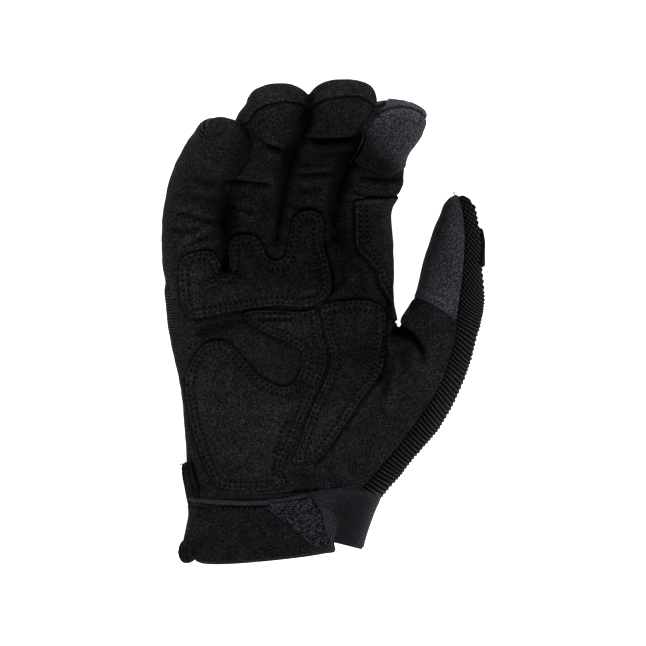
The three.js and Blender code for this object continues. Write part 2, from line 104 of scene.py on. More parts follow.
# The strap: its overlay's underside above the skin, the X of its left groove and the Y of its middle
STRAP_FACE = 2.0
STRAP_LEFT_X, STRAP_MIDDLE_Y = -24.0, -88.0
# Loops of the hook field: how many, their thread, and the ranges of their half width, height and lean
LOOPS = 1450
LOOP_THREAD = 0.1
LOOP_WIDE, LOOP_TALL, LOOP_LEAN = (0.16, 0.38), (0.25, 0.6), 0.3
# The rolled seam along the index finger
PIPING = 0.42

# How many mm round a form one unit of facing is worth: on the hand, at the palm cloth's sides, on the wrist
FACING_MM, SIDE_MM, WRIST_MM = 10.0, 11.0, 8.0
# The least upward part of the skin's normal that a needle hole still shows on
STEEPEST = 0.15
# How much lighter or darker the colour is painted, as light and shade, on a pad's edge, between and in its
# rows, round it and in folds, and the least and most of it
RIM_LIGHT = 0.75
RIDGE_LIGHT = 0.22
ROW_SHADE = 0.3
PAD_SHADE = 0.36
FOLD_SHADING = 0.42
SHADING_LEAST, SHADING_MOST = -1.2, 0.85

# Sections of the fingers and thumb: centre, turn towards the thumb side in degrees, half width, depth on the
# palm side and on the back, and how far up the side, in degrees, the palm's cloth ends on the thumb side and
# on the little-finger side.
_, Y, _, TURN, HALF, PALM, BACK, INNER, OUTER = range(9)
LITTLE_FINGER = [
    (-58.6, 10, 17, 0, 12, 11, 12, 8, -20),
    (-59.8, 25, 18.5, 0, 14.2, 12.6, 14.5, 8, -20),
    (-59.9, 43, 23, 2, 14.4, 11.5, 12.2, 12, -20),
    (-58.8, 57, 30, 7, 13.6, 9.9, 11.6, 14, -20),
    (-56, 66, 36.5, 14, 13.6, 11, 11.3, 10, -20),
    (-51.8, 74, 43.5, 20, 13.4, 11.2, 11, 2, -20),
    (-47.6, 80, 49.5, 18, 13.6, 11, 10.5, -15, -25),
    (-46, 83.6, 53, 12, 12.8, 10, 9.8, -30, -30),
]
RING_FINGER = [
    (-33, 18, 18, 0, 10.5, 10.5, 13, 8, 8),
    (-33, 34, 19, 0, 12, 12.6, 14, 8, 10),
    (-33, 50, 22.5, 1, 12.1, 11.5, 12, 12, 12),
    (-31.4, 63.5, 27, 7, 13.4, 9.3, 11.5, 18, 12),
    (-29.4, 74, 32, 11, 13.7, 11.2, 11.5, 18, 12),
    (-27.2, 81.5, 37.5, 14, 14, 10.2, 11.2, 16, 12),
    (-24, 90.5, 46, 8, 15.6, 11.3, 10.8, 12, 12),
    (-20.3, 98, 53, 0, 14.4, 10.6, 10.4, 8, 10),
]
MIDDLE_FINGER = [
    (-8, 20, 18, 0, 11, 10.5, 13, 5, 5),
    (-7.9, 38, 19.5, 0, 12.9, 12.8, 13.5, 8, 12),
    (-7.5, 55, 23, 3, 12.9, 11.5, 11.8, 14, 16),
    (-5.3, 65.5, 27, 9, 12.7, 9.4, 11.4, 18, 20),
    (-2.9, 73.5, 31, 12, 12.9, 10.8, 11.3, 18, 20),
    (-0.7, 80, 35.5, 13, 12.9, 8.3, 11.3, 18, 20),
    (1.5, 85.5, 41, 13, 12.5, 11.8, 11.3, 10, 18),
    (5.5, 92.5, 48, 10, 12.9, 12.2, 11, 0, 12),
    (8.5, 98, 53.2, 1, 15, 11.4, 10.8, 0, 8),
    (9.1, 100.8, 56, -3, 15, 10.4, 9.8, 0, 5),
]
INDEX_FINGER = [
    (18.8, 18, 17, 0, 11, 10, 13, -12, 5),
    (18.8, 35, 19, 0, 12.4, 12.8, 13.8, -12, 10),
    (18.4, 55, 22.8, 3, 13.2, 11.5, 11.8, -10, 18),
    (21, 62.5, 26, 8, 14.2, 10.8, 11.5, 0, 20),
    (22.8, 67, 28, 11, 14.4, 8.8, 11.3, 0, 20),
    (23.7, 72.5, 31, 15, 13.6, 11, 11, 0, 20),
    (27, 81.5, 36.5, 18, 12.4, 11.4, 10.8, 0, 18),
    (31.8, 90.6, 43, 14, 13.8, 10.8, 10.2, 0, 8),
    (33.6, 94.2, 45.6, 8, 13.4, 9.8, 9.4, 0, 0),
]
THUMB = [
    (-6, -93, 14.3, 38, 18, 13, 16, -20, -15),
    (14, -68.5, 15.2, 40, 18, 14.5, 16.5, -20, -15),
    (27, -54, 16.5, 39, 17.3, 16.5, 17, -20, -15),
    (39, -38, 18.2, 32, 18.2, 18.5, 17, -20, -15),
    (47.8, -21, 20.2, 24, 18.1, 17.8, 17, -20, -15),
    (53.7, -4, 22.8, 18, 17.5, 16, 16, -20, -15),
    (58.6, 10, 26, 10, 15.9, 14.5, 15, -20, -15),
    (60.1, 28, 31, 6, 13.2, 12.8, 13, -20, -15),
    (61.9, 41.5, 35, 6, 10.7, 10.6, 11, -20, -15),
    (62.7, 49, 37.3, 6, 8, 8.6, 9, -20, -15),
]

# How far up the side, in degrees, the palm's cloth ends along the hand and wrist.
HAND_SIDE = -20
# Sections of the hand and wrist, square to Y: Y, the two edges, the height of the widest point and the
# depths.
HAND = [
    (-94, -61.6, 13.5, 15.4, 14.8, 17.3),
    (-78, -61.8, 15, 15.8, 15.2, 17.5),
    (-62, -63, 26, 16.5, 17, 18),
    (-45, -64.2, 39, 17, 18, 18.5),
    (-26, -66.6, 43, 17.5, 17, 19),
    (-8, -70.6, 36, 18, 15.8, 19.5),
    (6, -72.4, 32.4, 18, 15.2, 19.5),
    (16, -73.6, 31.6, 18, 14.4, 19),
]
KNUCKLES = [
    (2, -43.8, 31.8, 18, 14.6, 19),
    (20, -44.4, 31.5, 18.4, 13.8, 18.4),
    (31.6, -44.2, 31.4, 19, 12.9, 16.6),
]
WRIST = [
    (-73, -60.9, 27.6, 15.7, 15.2, 17.4),
    (-78.4, -60.6, 27, 15.6, 15, 17.2),
    (-88, -59.4, 23.2, 15.4, 14.6, 17),
    (-96, -60.6, 20.4, 15.2, 14.4, 16.8),
    (-104, -62.4, 18.2, 15.1, 14.4, 16.7),
    (-112, -63, 16.4, 15, 14.4, 16.6),
]

# Outlines of the overlays in mm, seen from above the palm.
KNUCKLE_PAD = [
    (-63.5, 6.2), (-65.4, 14.9), (-65.8, 24.1), (-63.8, 30.6), (-56.2, 33.3), (-51.6, 33.2),
    (-48.4, 29.2), (-45.4, 21.6), (-42.6, 26.4), (-42.6, 34.2), (-40.8, 39.4), (-36.9, 40.8),
    (-31.4, 40.2), (-28.2, 36), (-25.4, 30.6), (-21.3, 28.9), (-17.4, 31), (-15.8, 37.8),
    (-14.4, 46.4), (-11.4, 50.5), (-6.7, 51.6), (-1.8, 50.8), (-0.2, 46.1), (-0.2, 37.8),
    (2.5, 27.3), (3.9, 17.7), (2.1, 12.2), (-3, 8.3), (-10.3, 6.9), (-21.8, 7.6),
    (-37.8, 5.5), (-53.9, 2.8), (-60.3, 2.3),
]
HEEL_PAD = [
    (-36.6, 3.2), (-34.1, 5.3), (-21.8, 5.7), (-10.3, 5), (-3.6, 6.2), (-1.4, 2.6),
    (-0.4, -5), (1.6, -12), (1.9, -19), (-0.6, -26), (-5.4, -36.2), (-9.6, -46.4),
    (-13.4, -56), (-17.4, -62.6), (-18.8, -68.5), (-16.8, -74.2), (-24.1, -76.2), (-35.5, -76.8),
    (-45.1, -76.2), (-49.6, -73.6), (-53.1, -67.6), (-56.4, -59.3), (-60.4, -44.7), (-62.6, -30.9),
    (-62.4, -23.6), (-59.4, -15.8), (-54.8, -10.3), (-48.8, -8), (-42.8, -9.4), (-36.4, -15.8),
    (-29.6, -23.6), (-23.1, -27.7), (-16.3, -29.1), (-12.1, -25.4), (-9.9, -18.1), (-10.8, -12.6),
    (-16.7, -8.9), (-27.7, -4.4), (-34, -0.8),
]
THENAR_PAD = [
    (-0.9, 6.6), (4.4, 9.4), (12.6, 10.2), (20.9, 9.9), (26.4, 7.6), (28.6, 3),
    (28.6, -5.7), (27.7, -18.1), (25, -25.9), (16.3, -36.9), (8, -49.7), (-1.6, -62.1),
    (-8, -63.4), (-14, -63.2), (-11.6, -57), (-8.4, -47), (-4.2, -36.6), (0.8, -26.4),
    (3.2, -19), (3, -12), (0.9, -5),
]
INDEX_SIDE_PATCH = [
    (14.9, 56), (14.9, 46), (14.9, 38), (16.2, 33.6), (20.8, 28.5), (24.4, 23.8), (25.8, 18.2),
    (28.4, 13.4), (30.4, 8.5), (31.6, 2.1), (40, 2.1), (44, 30), (44, 57), (27, 57), (17, 56.4),
]
INDEX_TIP_PATCH = [
    (14.8, 74.4), (19.4, 71), (24.7, 68.8), (29.6, 67.2), (34.2, 68.8), (37.6, 71.6), (44, 74), (56, 90),
    (52, 106), (38, 110), (32, 108), (29.6, 102), (27.4, 98), (24.3, 94.6), (20.8, 89.2), (19.6, 84),
    (17.8, 78),
]
THUMB_TIP_PATCH = [
    (36, 13.6), (43, 11.6), (50, 8.8), (57, 4.2), (61.6, 1.2), (72, 1), (76, 20), (76, 62), (50, 64),
    (36, 40),
]
STRAP_OUTLINE = [
    (-72, -80.1), (-59, -79.7), (-47, -81.1), (-33, -81.5), (-19.5, -80.4), (-10, -78.6),
    (-6.6, -78.1), (-4.4, -79.4), (-2.2, -82.6), (0.4, -84.8), (3.2, -85.8), (5.4, -87.2), (6.1, -90),
    (5.6, -94.4), (4.8, -100.4), (5.2, -104.8),
    (0, -106), (-10, -107.6), (-28, -109.6), (-46, -110.9), (-56, -110.4), (-59.4, -107),
    (-60.4, -101.6), (-72, -101.4),
]
STRAP_OVERLAY = [
    (-72, -84.4), (-50, -84.4), (-28, -84.4), (-22, -88), (-15, -93.2), (-9.6, -97.6),
    (-6.8, -102), (-7, -104.6), (-24, -107.6), (-38, -109.2), (-55.4, -109), (-58.8, -106.6),
    (-60, -101), (-72, -100.8),
]
HOOK_PATCH = [
    (-25, -82.3), (-17.2, -81.4), (-10.3, -80), (-5.8, -79.4), (-3.6, -82.8), (-1, -87.4),
    (0.5, -92.9), (2.1, -99.8), (2.6, -102.6), (-4.8, -103.4), (-7.1, -102), (-9.4, -98.4),
    (-14.9, -93.3), (-20.9, -87.8), (-24.1, -84.6),
]
RING_CAP = [
    (-50, 96), (-36, 90.4), (-32.6, 93.2), (-28.4, 97.2), (-19.3, 99.8), (-11, 99.2),
    (0, 96.4), (0, 125), (-50, 125),
]
MIDDLE_CAP = [
    (-12, 96.4), (-0.2, 100.4), (7, 101.8), (15.7, 102.2), (21.1, 99.8), (30, 96), (30, 125), (-12, 125),
]
THUMB_FRONT_SIDE = [
    (44, 75), (35.2, 3), (30, -7), (30.2, -22), (26.6, -38), (19, -60), (8, -84), (95, -84), (95, 75),
]
THUMB_BACK_SIDE = [
    (44, 75), (35.2, 3), (33, -10), (29, -38), (22, -60), (14, -84), (95, -84), (95, 75),
]
# The guard on the back of the thumb: its ends in X, Y and Z, its thickness and its rounded corners, in mm.
THUMB_GUARD = {
    "left": 63.5, "low": 25.5, "high": 43.5, "bottom": 20.0, "top": 37.5, "thick": 1.3, "corner": 3.5,
}

# Bound edges of the slit at the wrist and the strap's folded corner: name, look, slot and node, the width at
# both ends and the height in mm, how blunt the ends are, and the path in mm.
BINDINGS = [
    ("slit_edge_back", "binding", "binding", "slit_binding_back", (4.8, 3.0), 8.4, 5,
     [(-63.3, -64.9, 17), (-62.9, -70, 17), (-61.9, -77, 16.5), (-60.4, -86.5, 16)]),
    ("slit_edge_front", "binding", "binding", "slit_binding_front", (4.6, 5.6), 8.4, 5,
     [(-62.4, -63.8, 26.6), (-61.4, -69, 27.1), (-60, -75, 27.5), (-58.7, -80.2, 27.5)]),
    ("strap_corner", "strap_fold", "strap_webbing", "strap_fold", (7.0, 8.4), 18.0, 2.6,
     [(-61.9, -99.8, 17), (-62.9, -105, 17), (-61.7, -110.6, 16.5)]),
]
# Where the band's back ends, under its front: X and Y in mm.
BAND_BACK_END = [(-70, -103.5), (0, -101.4), (6, -101.8), (14, -103.2), (20, -103.8)]

# Where the suede ends beside the knit, in pixels of the photograph.
LITTLE_SEAM_PX = [
    (214, 119), (206, 127), (200, 139), (193, 152), (186, 163), (181.5, 177), (176, 191), (171, 205),
    (168, 219), (166.7, 233), (166.5, 248), (168, 270), (170, 300), (174, 330), (178, 360), (182, 390),
    (185, 415), (187, 440), (190, 465), (192, 500),
]
THUMB_SEAM_PX = [
    (456, 192), (459, 201), (461.5, 209), (463, 220), (464, 235), (463.5, 250), (462.5, 265), (461, 280),
    (459, 295), (457, 308), (456, 320), (455, 335), (452, 348), (448, 360), (444, 373), (438, 386),
    (430, 400), (422, 412), (412, 426), (402, 440), (392, 452), (384, 461), (375, 472), (366, 482),
    (355, 494),
]
# What closes the region of the suede below and above these seams, and the region left of the thumb's seam.
SUEDE_LOW_PX, SUEDE_HIGH_PX = [(192, 600), (355, 600)], [(456, 40), (214, 40)]
THUMB_LEFT_PX = [(300, 500), (300, 60), (456, 60)]
# How steeply the thumb's ribs slope away from that seam, at heights of the photograph in pixels.
RIB_SLOPE = [(190, 1.0), (290, 1.0), (320, 0.55), (350, 0.47), (420, 0.3), (450, 0.1), (480, -0.17)]
# The top and the bottom of the wrist band, in pixels of the photograph.
BAND_TOP_PX = [
    (150, 494), (300, 493), (309, 492), (320, 489.5), (330, 488), (345, 487), (360, 489), (381, 492),
    (430, 495),
]
BAND_BOTTOM_PX = [(150, 549), (320, 541), (331, 541.5), (345, 545), (361, 549), (430, 549)]

# Folds of the cloth: depth and width in mm, then the line in pixels of the photograph.
FOLDS_PX = [
    (1.9, 1.1, [(222, 180), (238, 181.5), (255, 183), (274, 184.5)]),
    (0.6, 1.0, [(228, 205), (240, 208), (256, 210), (268, 208)]),
    (1.5, 1.1, [(292, 174), (305, 174.5), (320, 173.5), (334, 172.5)]),
    (0.6, 1.0, [(283, 200), (295, 206), (307, 207), (318, 206)]),
    (3.2, 1.3, [(304, 137), (320, 140), (335, 139.5), (348, 138.5), (358, 136)]),
    (0.7, 0.9, [(300, 128), (312, 131), (325, 131)]),
    (1.7, 1.0, [(356, 176), (368, 178.5), (380, 180), (393, 179.5), (404, 177)]),
    (0.9, 0.9, [(348, 189), (360, 193), (372, 195), (388, 194.5), (396, 191)]),
    (0.6, 0.8, [(340, 200), (352, 200), (364, 197.5), (378, 196.5)]),
    (1.2, 1.2, [(172, 210), (186, 214), (202, 219), (222, 222)]),
    (1.1, 1.1, [(172, 229), (184, 231), (194, 228), (206, 222)]),
    (1.0, 1.1, [(182, 248), (190, 243), (200, 238), (212, 236)]),
    (0.8, 1.8, [(192, 176), (204, 182), (218, 180)]),
    (0.7, 1.6, [(190, 196), (204, 199), (220, 199)]),
    (2.6, 2.6, [(392, 327), (399, 330), (406, 333), (411, 337)]),
    (1.1, 1.3, [(402, 331), (410, 336), (417, 343), (424, 353)]),
    (0.6, 1.6, [(336, 280), (334, 287), (330, 293)]),
    (0.7, 1.4, [(346, 276), (342, 284), (335, 292)]),
    (0.5, 1.8, [(352, 262), (362, 272), (368, 284)]),
    (1.3, 1.6, [(386, 322), (387, 338), (388, 356), (388.5, 372), (386, 386), (381, 402)]),
    (0.9, 1.5, [(409, 330), (416, 338), (421, 346), (424, 356), (425, 366)]),
    (0.6, 2.2, [(398, 345), (402, 360), (408, 374)]),
    (0.5, 2.0, [(196, 332), (214, 326), (232, 322), (244, 318)]),
    (0.5, 1.8, [(300, 470), (306, 480), (312, 490)]),
    (0.5, 2.0, [(330, 462), (334, 474), (336, 486)]),
    (0.7, 1.4, [(252, 132), (262, 141), (272, 146)]),
    (1.5, 1.3, [(264, 147), (272, 147.5), (282, 150)]),
    (0.8, 2.0, [(236, 190), (234, 206), (236, 222)]),
    (0.8, 2.0, [(268, 192), (266, 208), (262, 222)]),
    (0.7, 1.6, [(296, 188), (308, 190), (322, 187)]),
]
# The gaps between the fingers, in the same columns.
SLITS_PX = [
    (2.0, 0.9, [(239, 121), (243, 127), (248, 134), (250.5, 142), (250, 150)]),
    (5.5, 1.5, [(250, 148), (246, 156), (238, 166), (230, 175), (225.5, 184), (224.5, 200), (224.5, 215),
                (226, 230), (227, 250), (227, 271)]),
    (7.0, 1.9, [(311, 101), (309.5, 112), (306, 122), (301, 133), (294.5, 144), (290, 155), (287, 168),
                (283.5, 180), (281, 192), (279, 207), (277, 222), (274.5, 235)]),
    (4.5, 1.1, [(374, 104), (367.5, 115), (361.5, 123), (359.5, 131), (358.5, 139)]),
    (7.0, 2.3, [(359, 134), (357.5, 142), (353.5, 151), (347.5, 161), (343, 170), (339, 180), (336, 192),
                (334, 205), (333.2, 218), (333, 230)]),
]
# Broad hollows of the palm, in the same columns.
HOLLOWS_PX = [
    (0.8, 1.8, [(198, 497), (225, 497), (255, 496.5), (280, 494), (305, 490), (320, 487)]),
    (3.2, 11, [(406, 334), (388, 346), (362, 352), (332, 350), (304, 342)]),
    (2.2, 9, [(350, 236), (352, 262), (356, 285), (366, 306)]),
    (1.8, 10, [(232, 292), (262, 288), (290, 280), (322, 262)]),
    (1.4, 5, [(196, 340), (214, 334), (236, 325)]),
    (1.6, 6, [(286, 488), (304, 488), (324, 487)]),
]
# Painted shade along each line, and painted light instead where the share is below 0: share and width in mm,
# then the line.
PAINTED_SHADING_PX = [
    (0.5, 5.0, [(248, 132), (243, 145), (236, 160), (229, 178), (225, 200), (224, 222)]),
    (0.5, 4.5, [(308, 106), (303, 118), (298, 132), (291, 148), (286, 168)]),
    (0.75, 2.2, [(310, 97), (309, 104), (307, 112), (304, 120)]),
    (0.55, 6.0, [(352, 140), (349, 155), (344, 172), (340, 188)]),
    (0.5, 5.0, [(322, 147), (338, 150), (352, 149)]),
    (0.4, 4.5, [(256, 150), (270, 151), (286, 152)]),
    (0.35, 10, [(240, 240), (262, 262), (286, 272), (310, 268)]),
    (0.4, 9.0, [(352, 236), (352, 262), (344, 286)]),
    (0.2, 9.0, [(300, 226), (318, 246), (330, 266)]),
    (0.5, 4.5, [(204, 333), (224, 328), (244, 322)]),
    (0.45, 9.0, [(364, 354), (384, 346), (404, 338), (418, 340)]),
    (0.45, 2.6, [(398, 329), (405, 332), (411, 337)]),
    (0.4, 1.2, [(411, 338), (418, 348), (422, 360)]),
    (-0.15, 16, [(214, 400), (236, 440), (262, 462)]),
    (-0.1, 14, [(330, 430), (352, 410), (376, 390)]),
    (-0.4, 1.3, [(197, 500), (230, 500.5), (262, 499), (300, 494)]),
    (-0.5, 5.0, [(327, 500), (331, 518), (331, 545)]),
    (0.25, 6.0, [(284, 344), (292, 362), (300, 382)]),
    (0.25, 7.0, [(200, 184), (214, 206), (222, 226)]),
    (0.3, 5.0, [(300, 474), (320, 478)]),
    (0.6, 1.0, [(387, 300), (386.5, 318), (384, 335), (381, 350), (380, 366), (379, 382)]),
    (0.35, 6.0, [(440, 210), (430, 240), (422, 270), (416, 296)]),
    (0.25, 7.0, [(360, 164), (376, 170), (396, 170)]),
    (0.3, 5.0, [(290, 512), (304, 522), (312, 536)]),
    (-0.3, 9.0, [(176, 250), (173, 280), (176, 312)]),
    (-0.2, 8.0, [(196, 262), (196, 292)]),
    (-0.5, 4.5, [(391, 205), (389, 240), (388, 272)]),
    (-0.4, 8.0, [(264, 92), (290, 94)]),
    (-0.4, 7.0, [(334, 92), (362, 94)]),
    (-0.35, 8.0, [(206, 130), (224, 128)]),
    (-0.25, 12, [(262, 412), (284, 430), (302, 434)]),
    (-0.2, 9.0, [(192, 372), (196, 400)]),
    (-0.3, 7.0, [(276, 312), (308, 311)]),
    (-0.3, 9.0, [(444, 300), (444, 340), (438, 380)]),
    (-0.5, 7.0, [(386, 112), (402, 110), (418, 116)]),
    (-0.4, 4.0, [(455, 212), (459, 240), (458, 270), (455, 296)]),
    (-0.9, 3.2, [(379, 496), (374, 512), (368, 530), (363, 546)]),
    (-0.3, 2.0, [(330, 545), (345, 547), (360, 548)]),
    (0.3, 13, [(326, 108), (318, 140), (310, 170), (304, 200)]),
    (0.13, 14, [(342, 330), (350, 380)]),
    (0.1, 12, [(200, 285), (250, 285), (320, 280)]),
    (0.12, 12, [(350, 236), (352, 286)]),
    (0.12, 14, [(448, 210), (444, 250), (438, 300)]),
    (-0.18, 10, [(384, 120), (400, 130)]),
    (0.6, 1.8, [(180, 548), (182, 558)]),
    (0.6, 3.2, [(444, 203), (438, 214), (431, 228), (426.5, 242), (422, 262), (419, 282)]),
    (0.3, 3.5, [(448, 207), (442, 219), (437, 232), (432, 248)]),
    (0.45, 0.75, [(385.5, 372), (376, 384), (364, 399), (352, 417), (340, 433), (329, 448), (319, 460)]),
    (-0.35, 1.0, [(379, 371), (370, 382), (358, 397), (346, 414), (334, 431), (323, 445)]),
    (0.45, 0.8, [(184, 380), (186.5, 400), (190, 425), (197, 448), (204, 466), (211, 481), (220, 489)]),
    (0.4, 0.8, [(182.5, 254), (177.8, 268), (178.4, 290), (181, 310), (190, 319), (205, 318), (222, 315),
                (240, 312)]),
    (-0.35, 0.9, [(183, 268), (182.5, 290), (185.5, 307), (193, 313.5), (208, 312.5), (226, 309.5),
                  (242, 307)]),
    (-0.4, 0.9, [(390, 322), (389, 335), (388.5, 350), (389, 365), (387, 378)]),
    (0.85, 0.8, [(353.4, 201), (353.4, 226), (353.8, 240), (356, 248.5), (366.5, 261.5), (374.4, 271.5)]),
    (0.85, 0.8, [(374.4, 271.5), (377, 283.5), (383, 293.5), (388, 303)]),
    (0.55, 7.0, [(368, 144), (370, 158), (376, 168)]),
    (0.3, 6.0, [(384, 160), (390, 168)]),
    (-0.35, 4.0, [(413, 128), (415, 140), (408, 154)]),
    (-0.55, 0.9, [(377, 120), (383, 115), (389, 112.4), (396, 111.2), (403, 111), (410, 112.2), (417, 115.4),
                  (423, 120)]),
    (-0.4, 2.2, [(392, 104), (404, 103.5), (415, 107), (422, 113)]),
    (0.5, 5.0, [(432, 214), (426, 240), (420, 266), (414, 292)]),
    (-0.35, 1.0, [(412, 286), (424, 291), (438, 299), (452, 309)]),
    (0.45, 5.0, [(338, 512), (339, 526), (338, 540)]),
    (0.2, 5.0, [(352, 512), (354, 528)]),
    (-0.25, 5.0, [(372, 502), (366, 520), (360, 540)]),
    (-0.4, 1.4, [(336, 491), (352, 490.5), (372, 493)]),
    (-0.55, 2.4, [(190, 514), (187, 530), (187, 543)]),
    (0.5, 1.2, [(196, 548), (197, 556)]),
    (-0.3, 1.2, [(176, 212), (190, 207), (204, 213)]),
    (-0.35, 1.1, [(187, 240), (196, 233), (206, 228), (214, 222)]),
    (-0.3, 1.0, [(180, 224), (192, 222), (206, 228)]),
    (-0.3, 1.2, [(236, 196), (240, 214), (252, 222)]),
    (0.35, 2.0, [(234, 188), (246, 190), (262, 190)]),
    (0.3, 3.0, [(340, 204), (338, 224), (342, 240)]),
    (-0.3, 2.0, [(336, 296), (346, 284), (356, 276)]),
]
# Folds of the pads, in the same columns.
PAD_FOLDS_PX = [
    (0.8, 0.7, [(253, 321), (270, 319.5), (290, 318.5), (306, 315.5), (320, 312)]),
    (0.8, 0.6, [(256, 313), (272, 312.5), (290, 312.5), (305, 311), (318, 308)]),
    (0.5, 0.9, [(220, 361), (218, 368), (215, 375), (211, 381)]),
    (0.5, 0.9, [(272, 462), (275, 470), (280, 479)]),
    (0.5, 1.0, [(288, 418), (283, 428), (279, 438), (276, 447), (271, 457)]),
    (0.5, 0.8, [(291, 291), (305, 289), (320, 286)]),
    (0.5, 0.8, [(295, 299), (308, 297), (322, 293)]),
    (0.4, 1.0, [(236, 238), (237, 252), (237.5, 270)]),
]
# Rows of stitches that don't follow a pad's edge, in pixels of the photograph.
CAP_ROWS_PX = [
    [(249, 121), (254, 113.5), (260, 109), (268, 106), (280, 104), (292, 103.5), (300, 104.5), (304, 107)],
    [(321, 103), (331, 102), (338, 100), (347, 98.5), (357, 98.5), (364, 100.5), (370, 104)],
]
PATCH_ROWS_PX = [
    [(360.3, 202), (360.3, 220), (360.5, 236), (361.8, 244), (367, 251), (373, 257.5), (378, 264.5),
     (380.5, 273), (383, 281.5), (387.5, 289), (391, 297), (393, 306)],
    [(366.2, 202), (366.2, 220), (366.4, 233), (367.8, 241), (373, 247.5), (379, 254.5), (383.6, 262),
     (386, 271), (388.6, 279.5), (391.5, 287.5), (393.5, 296)],
]
TIP_ROWS_PX = [
    [(375.5, 117), (382, 112), (389, 109.2), (395, 108), (401, 107.6), (408, 108.2), (415, 110.6),
     (421.5, 114.6), (426, 119)],
]
HEEL_ROWS_PX = [[(288, 420), (284, 425), (280, 435), (277, 445), (272, 455)]]
STRAP_ROWS_PX = [[(200, 506), (215, 507), (230, 507), (245, 507), (258, 506.5)]]
BAND_ROWS_PX = [[(331, 506), (345, 505), (360, 505.5), (373, 507)]]
SEAM_ROWS_PX = [[(339, 192), (340, 205), (340, 218), (339, 229)]]
# The rolled seam along the index finger, in pixels too.
PIPING_PX = [
    (376, 109), (370, 115.5), (365.5, 122), (363.2, 129), (363.8, 136), (361, 144), (356.7, 153), (350, 162),
]
# How high the cloth under these rows lies, in mm.
CAP_Z, PATCH_Z, TIP_Z, PAD_Z, STRAP_Z, BAND_Z, SEAM_Z, PIPING_Z = 58, 36, 52, 32, 31, 28, 30, 50
# Loose ends of two threads, in mm.
LOOSE_ENDS = [
    [(-63.4, -65.2, 19.6), (-64.8, -64.9, 20.4), (-66.3, -65.5, 20.8)],
    [(60.4, 56.6, 37.6), (60.3, 58.4, 38.6), (59.8, 59.4, 39), (60.1, 60.2, 39.2)],
]

# Unevenness of the cloth: height and size in mm, and the seed of the noise.
BODY_LUMPS = [(0.35, 11, 1), (0.2, 4.5, 2)]
PAD_LUMPS = [(0.16, 7, 5), (0.07, 2.6, 6)]
PATCH_LUMPS = [(0.08, 3.0, 8)]
BAND_LUMPS = [(0.12, 9, 11)]
STRAP_LUMPS = [(0.1, 5, 12)]
OVERLAY_LUMPS = [(0.15, 8, 13)]
HOOK_LUMPS = [(0.1, 1.5, 14)]

# Soft lights: name, compass turn from +X and height in degrees, and watts
SOFTBOXES = [
    ("lower_softbox", 270, 45, 37), ("upper_softbox", 90, 22, 14), ("upper_left_softbox", 135, 22, 13),
    ("upper_right_softbox", 45, 22, 10),
]
# Their distance and size in metres, and how strongly the room and the floor shine
LIGHT_DISTANCE = 1.7
LIGHT_SIZE = 0.9
ROOM_LIGHT = 0.0
FLOOR_GLOW = 1.0
# Half the floor's width and how far it lies below the glove, in mm
FLOOR_HALF, FLOOR_DROP = 3000.0, 0.15


# Curves and tables


def to_photo(points):
    """Where the camera sees points given in mm, in pixels of the photograph."""
    scale = FOCAL / (CAMERA_HEIGHT - points[:, 2])
    return np.stack([PHOTO_MIDDLE + points[:, 0] * scale, PHOTO_MIDDLE - points[:, 1] * scale], 1)


def from_photo(points, height):
    """Pixels of the photograph as X and Y in mm, at a height above the floor."""
    points = np.array(points, float)
    scale = (CAMERA_HEIGHT - height) / FOCAL
    return np.stack([(points[:, 0] - PHOTO_MIDDLE) * scale, (PHOTO_MIDDLE - points[:, 1]) * scale], 1)


def photo_rows(rows_px, height, step=3.0):
    """Lines in pixels of the photograph as smooth lines of X and Y in mm, at a height above the floor."""
    return [from_photo(smooth_line(row, step), height) for row in rows_px]


def lengths_along(line):
    """How far along a line each of its points lies."""
    return np.concatenate([[0], np.cumsum(np.linalg.norm(np.diff(line, axis=0), axis=1))])


def smooth_table(rows, place, step):
    """Rows with one every step or so, on smooth curves through the given rows at their places."""
    places = lengths_along(place)
    slopes = np.gradient(rows, places, axis=0)
    at = np.linspace(0, places[-1], max(2, int(round(places[-1] / step)) + 1))
    i = np.clip(np.searchsorted(places, at, side="right") - 1, 0, len(places) - 2)
    gap = (places[i + 1] - places[i])[:, None]
    t = (at - places[i])[:, None] / gap
    return (
        (2 * t**3 - 3 * t**2 + 1) * rows[i]
        + (t**3 - 2 * t**2 + t) * gap * slopes[i]
        + (3 * t**2 - 2 * t**3) * rows[i + 1]
        + (t**3 - t**2) * gap * slopes[i + 1]
    )


def smooth_line(points, step=1.0):
    """An open line as a smooth one."""
    points = np.array(points, float)
    return smooth_table(points, points, step)


def rounded(outline, step=1.0):
    """A closed outline as a smooth one."""
    points = np.array(outline, float)
    count = len(points)
    dense = []
    for k in range(count):
        p0, p1, p2, p3 = (points[(k + j - 1) % count] for j in range(4))
        parts = max(2, int(np.linalg.norm(p2 - p1) / step))
        for t in np.arange(parts) / parts:
            dense.append(0.5 * (2 * p1 + (p2 - p0) * t + (2 * p0 - 5 * p1 + 4 * p2 - p3) * t**2
                                + (3 * p1 - p0 - 3 * p2 + p3) * t**3))
    return np.array(dense)


def spaced(line, pitch):
    """Points every pitch along a line."""
    lengths = lengths_along(line)
    at = np.arange(pitch / 2, lengths[-1], pitch)
    return np.stack([np.interp(at, lengths, line[:, k]) for k in range(line.shape[1])], 1)


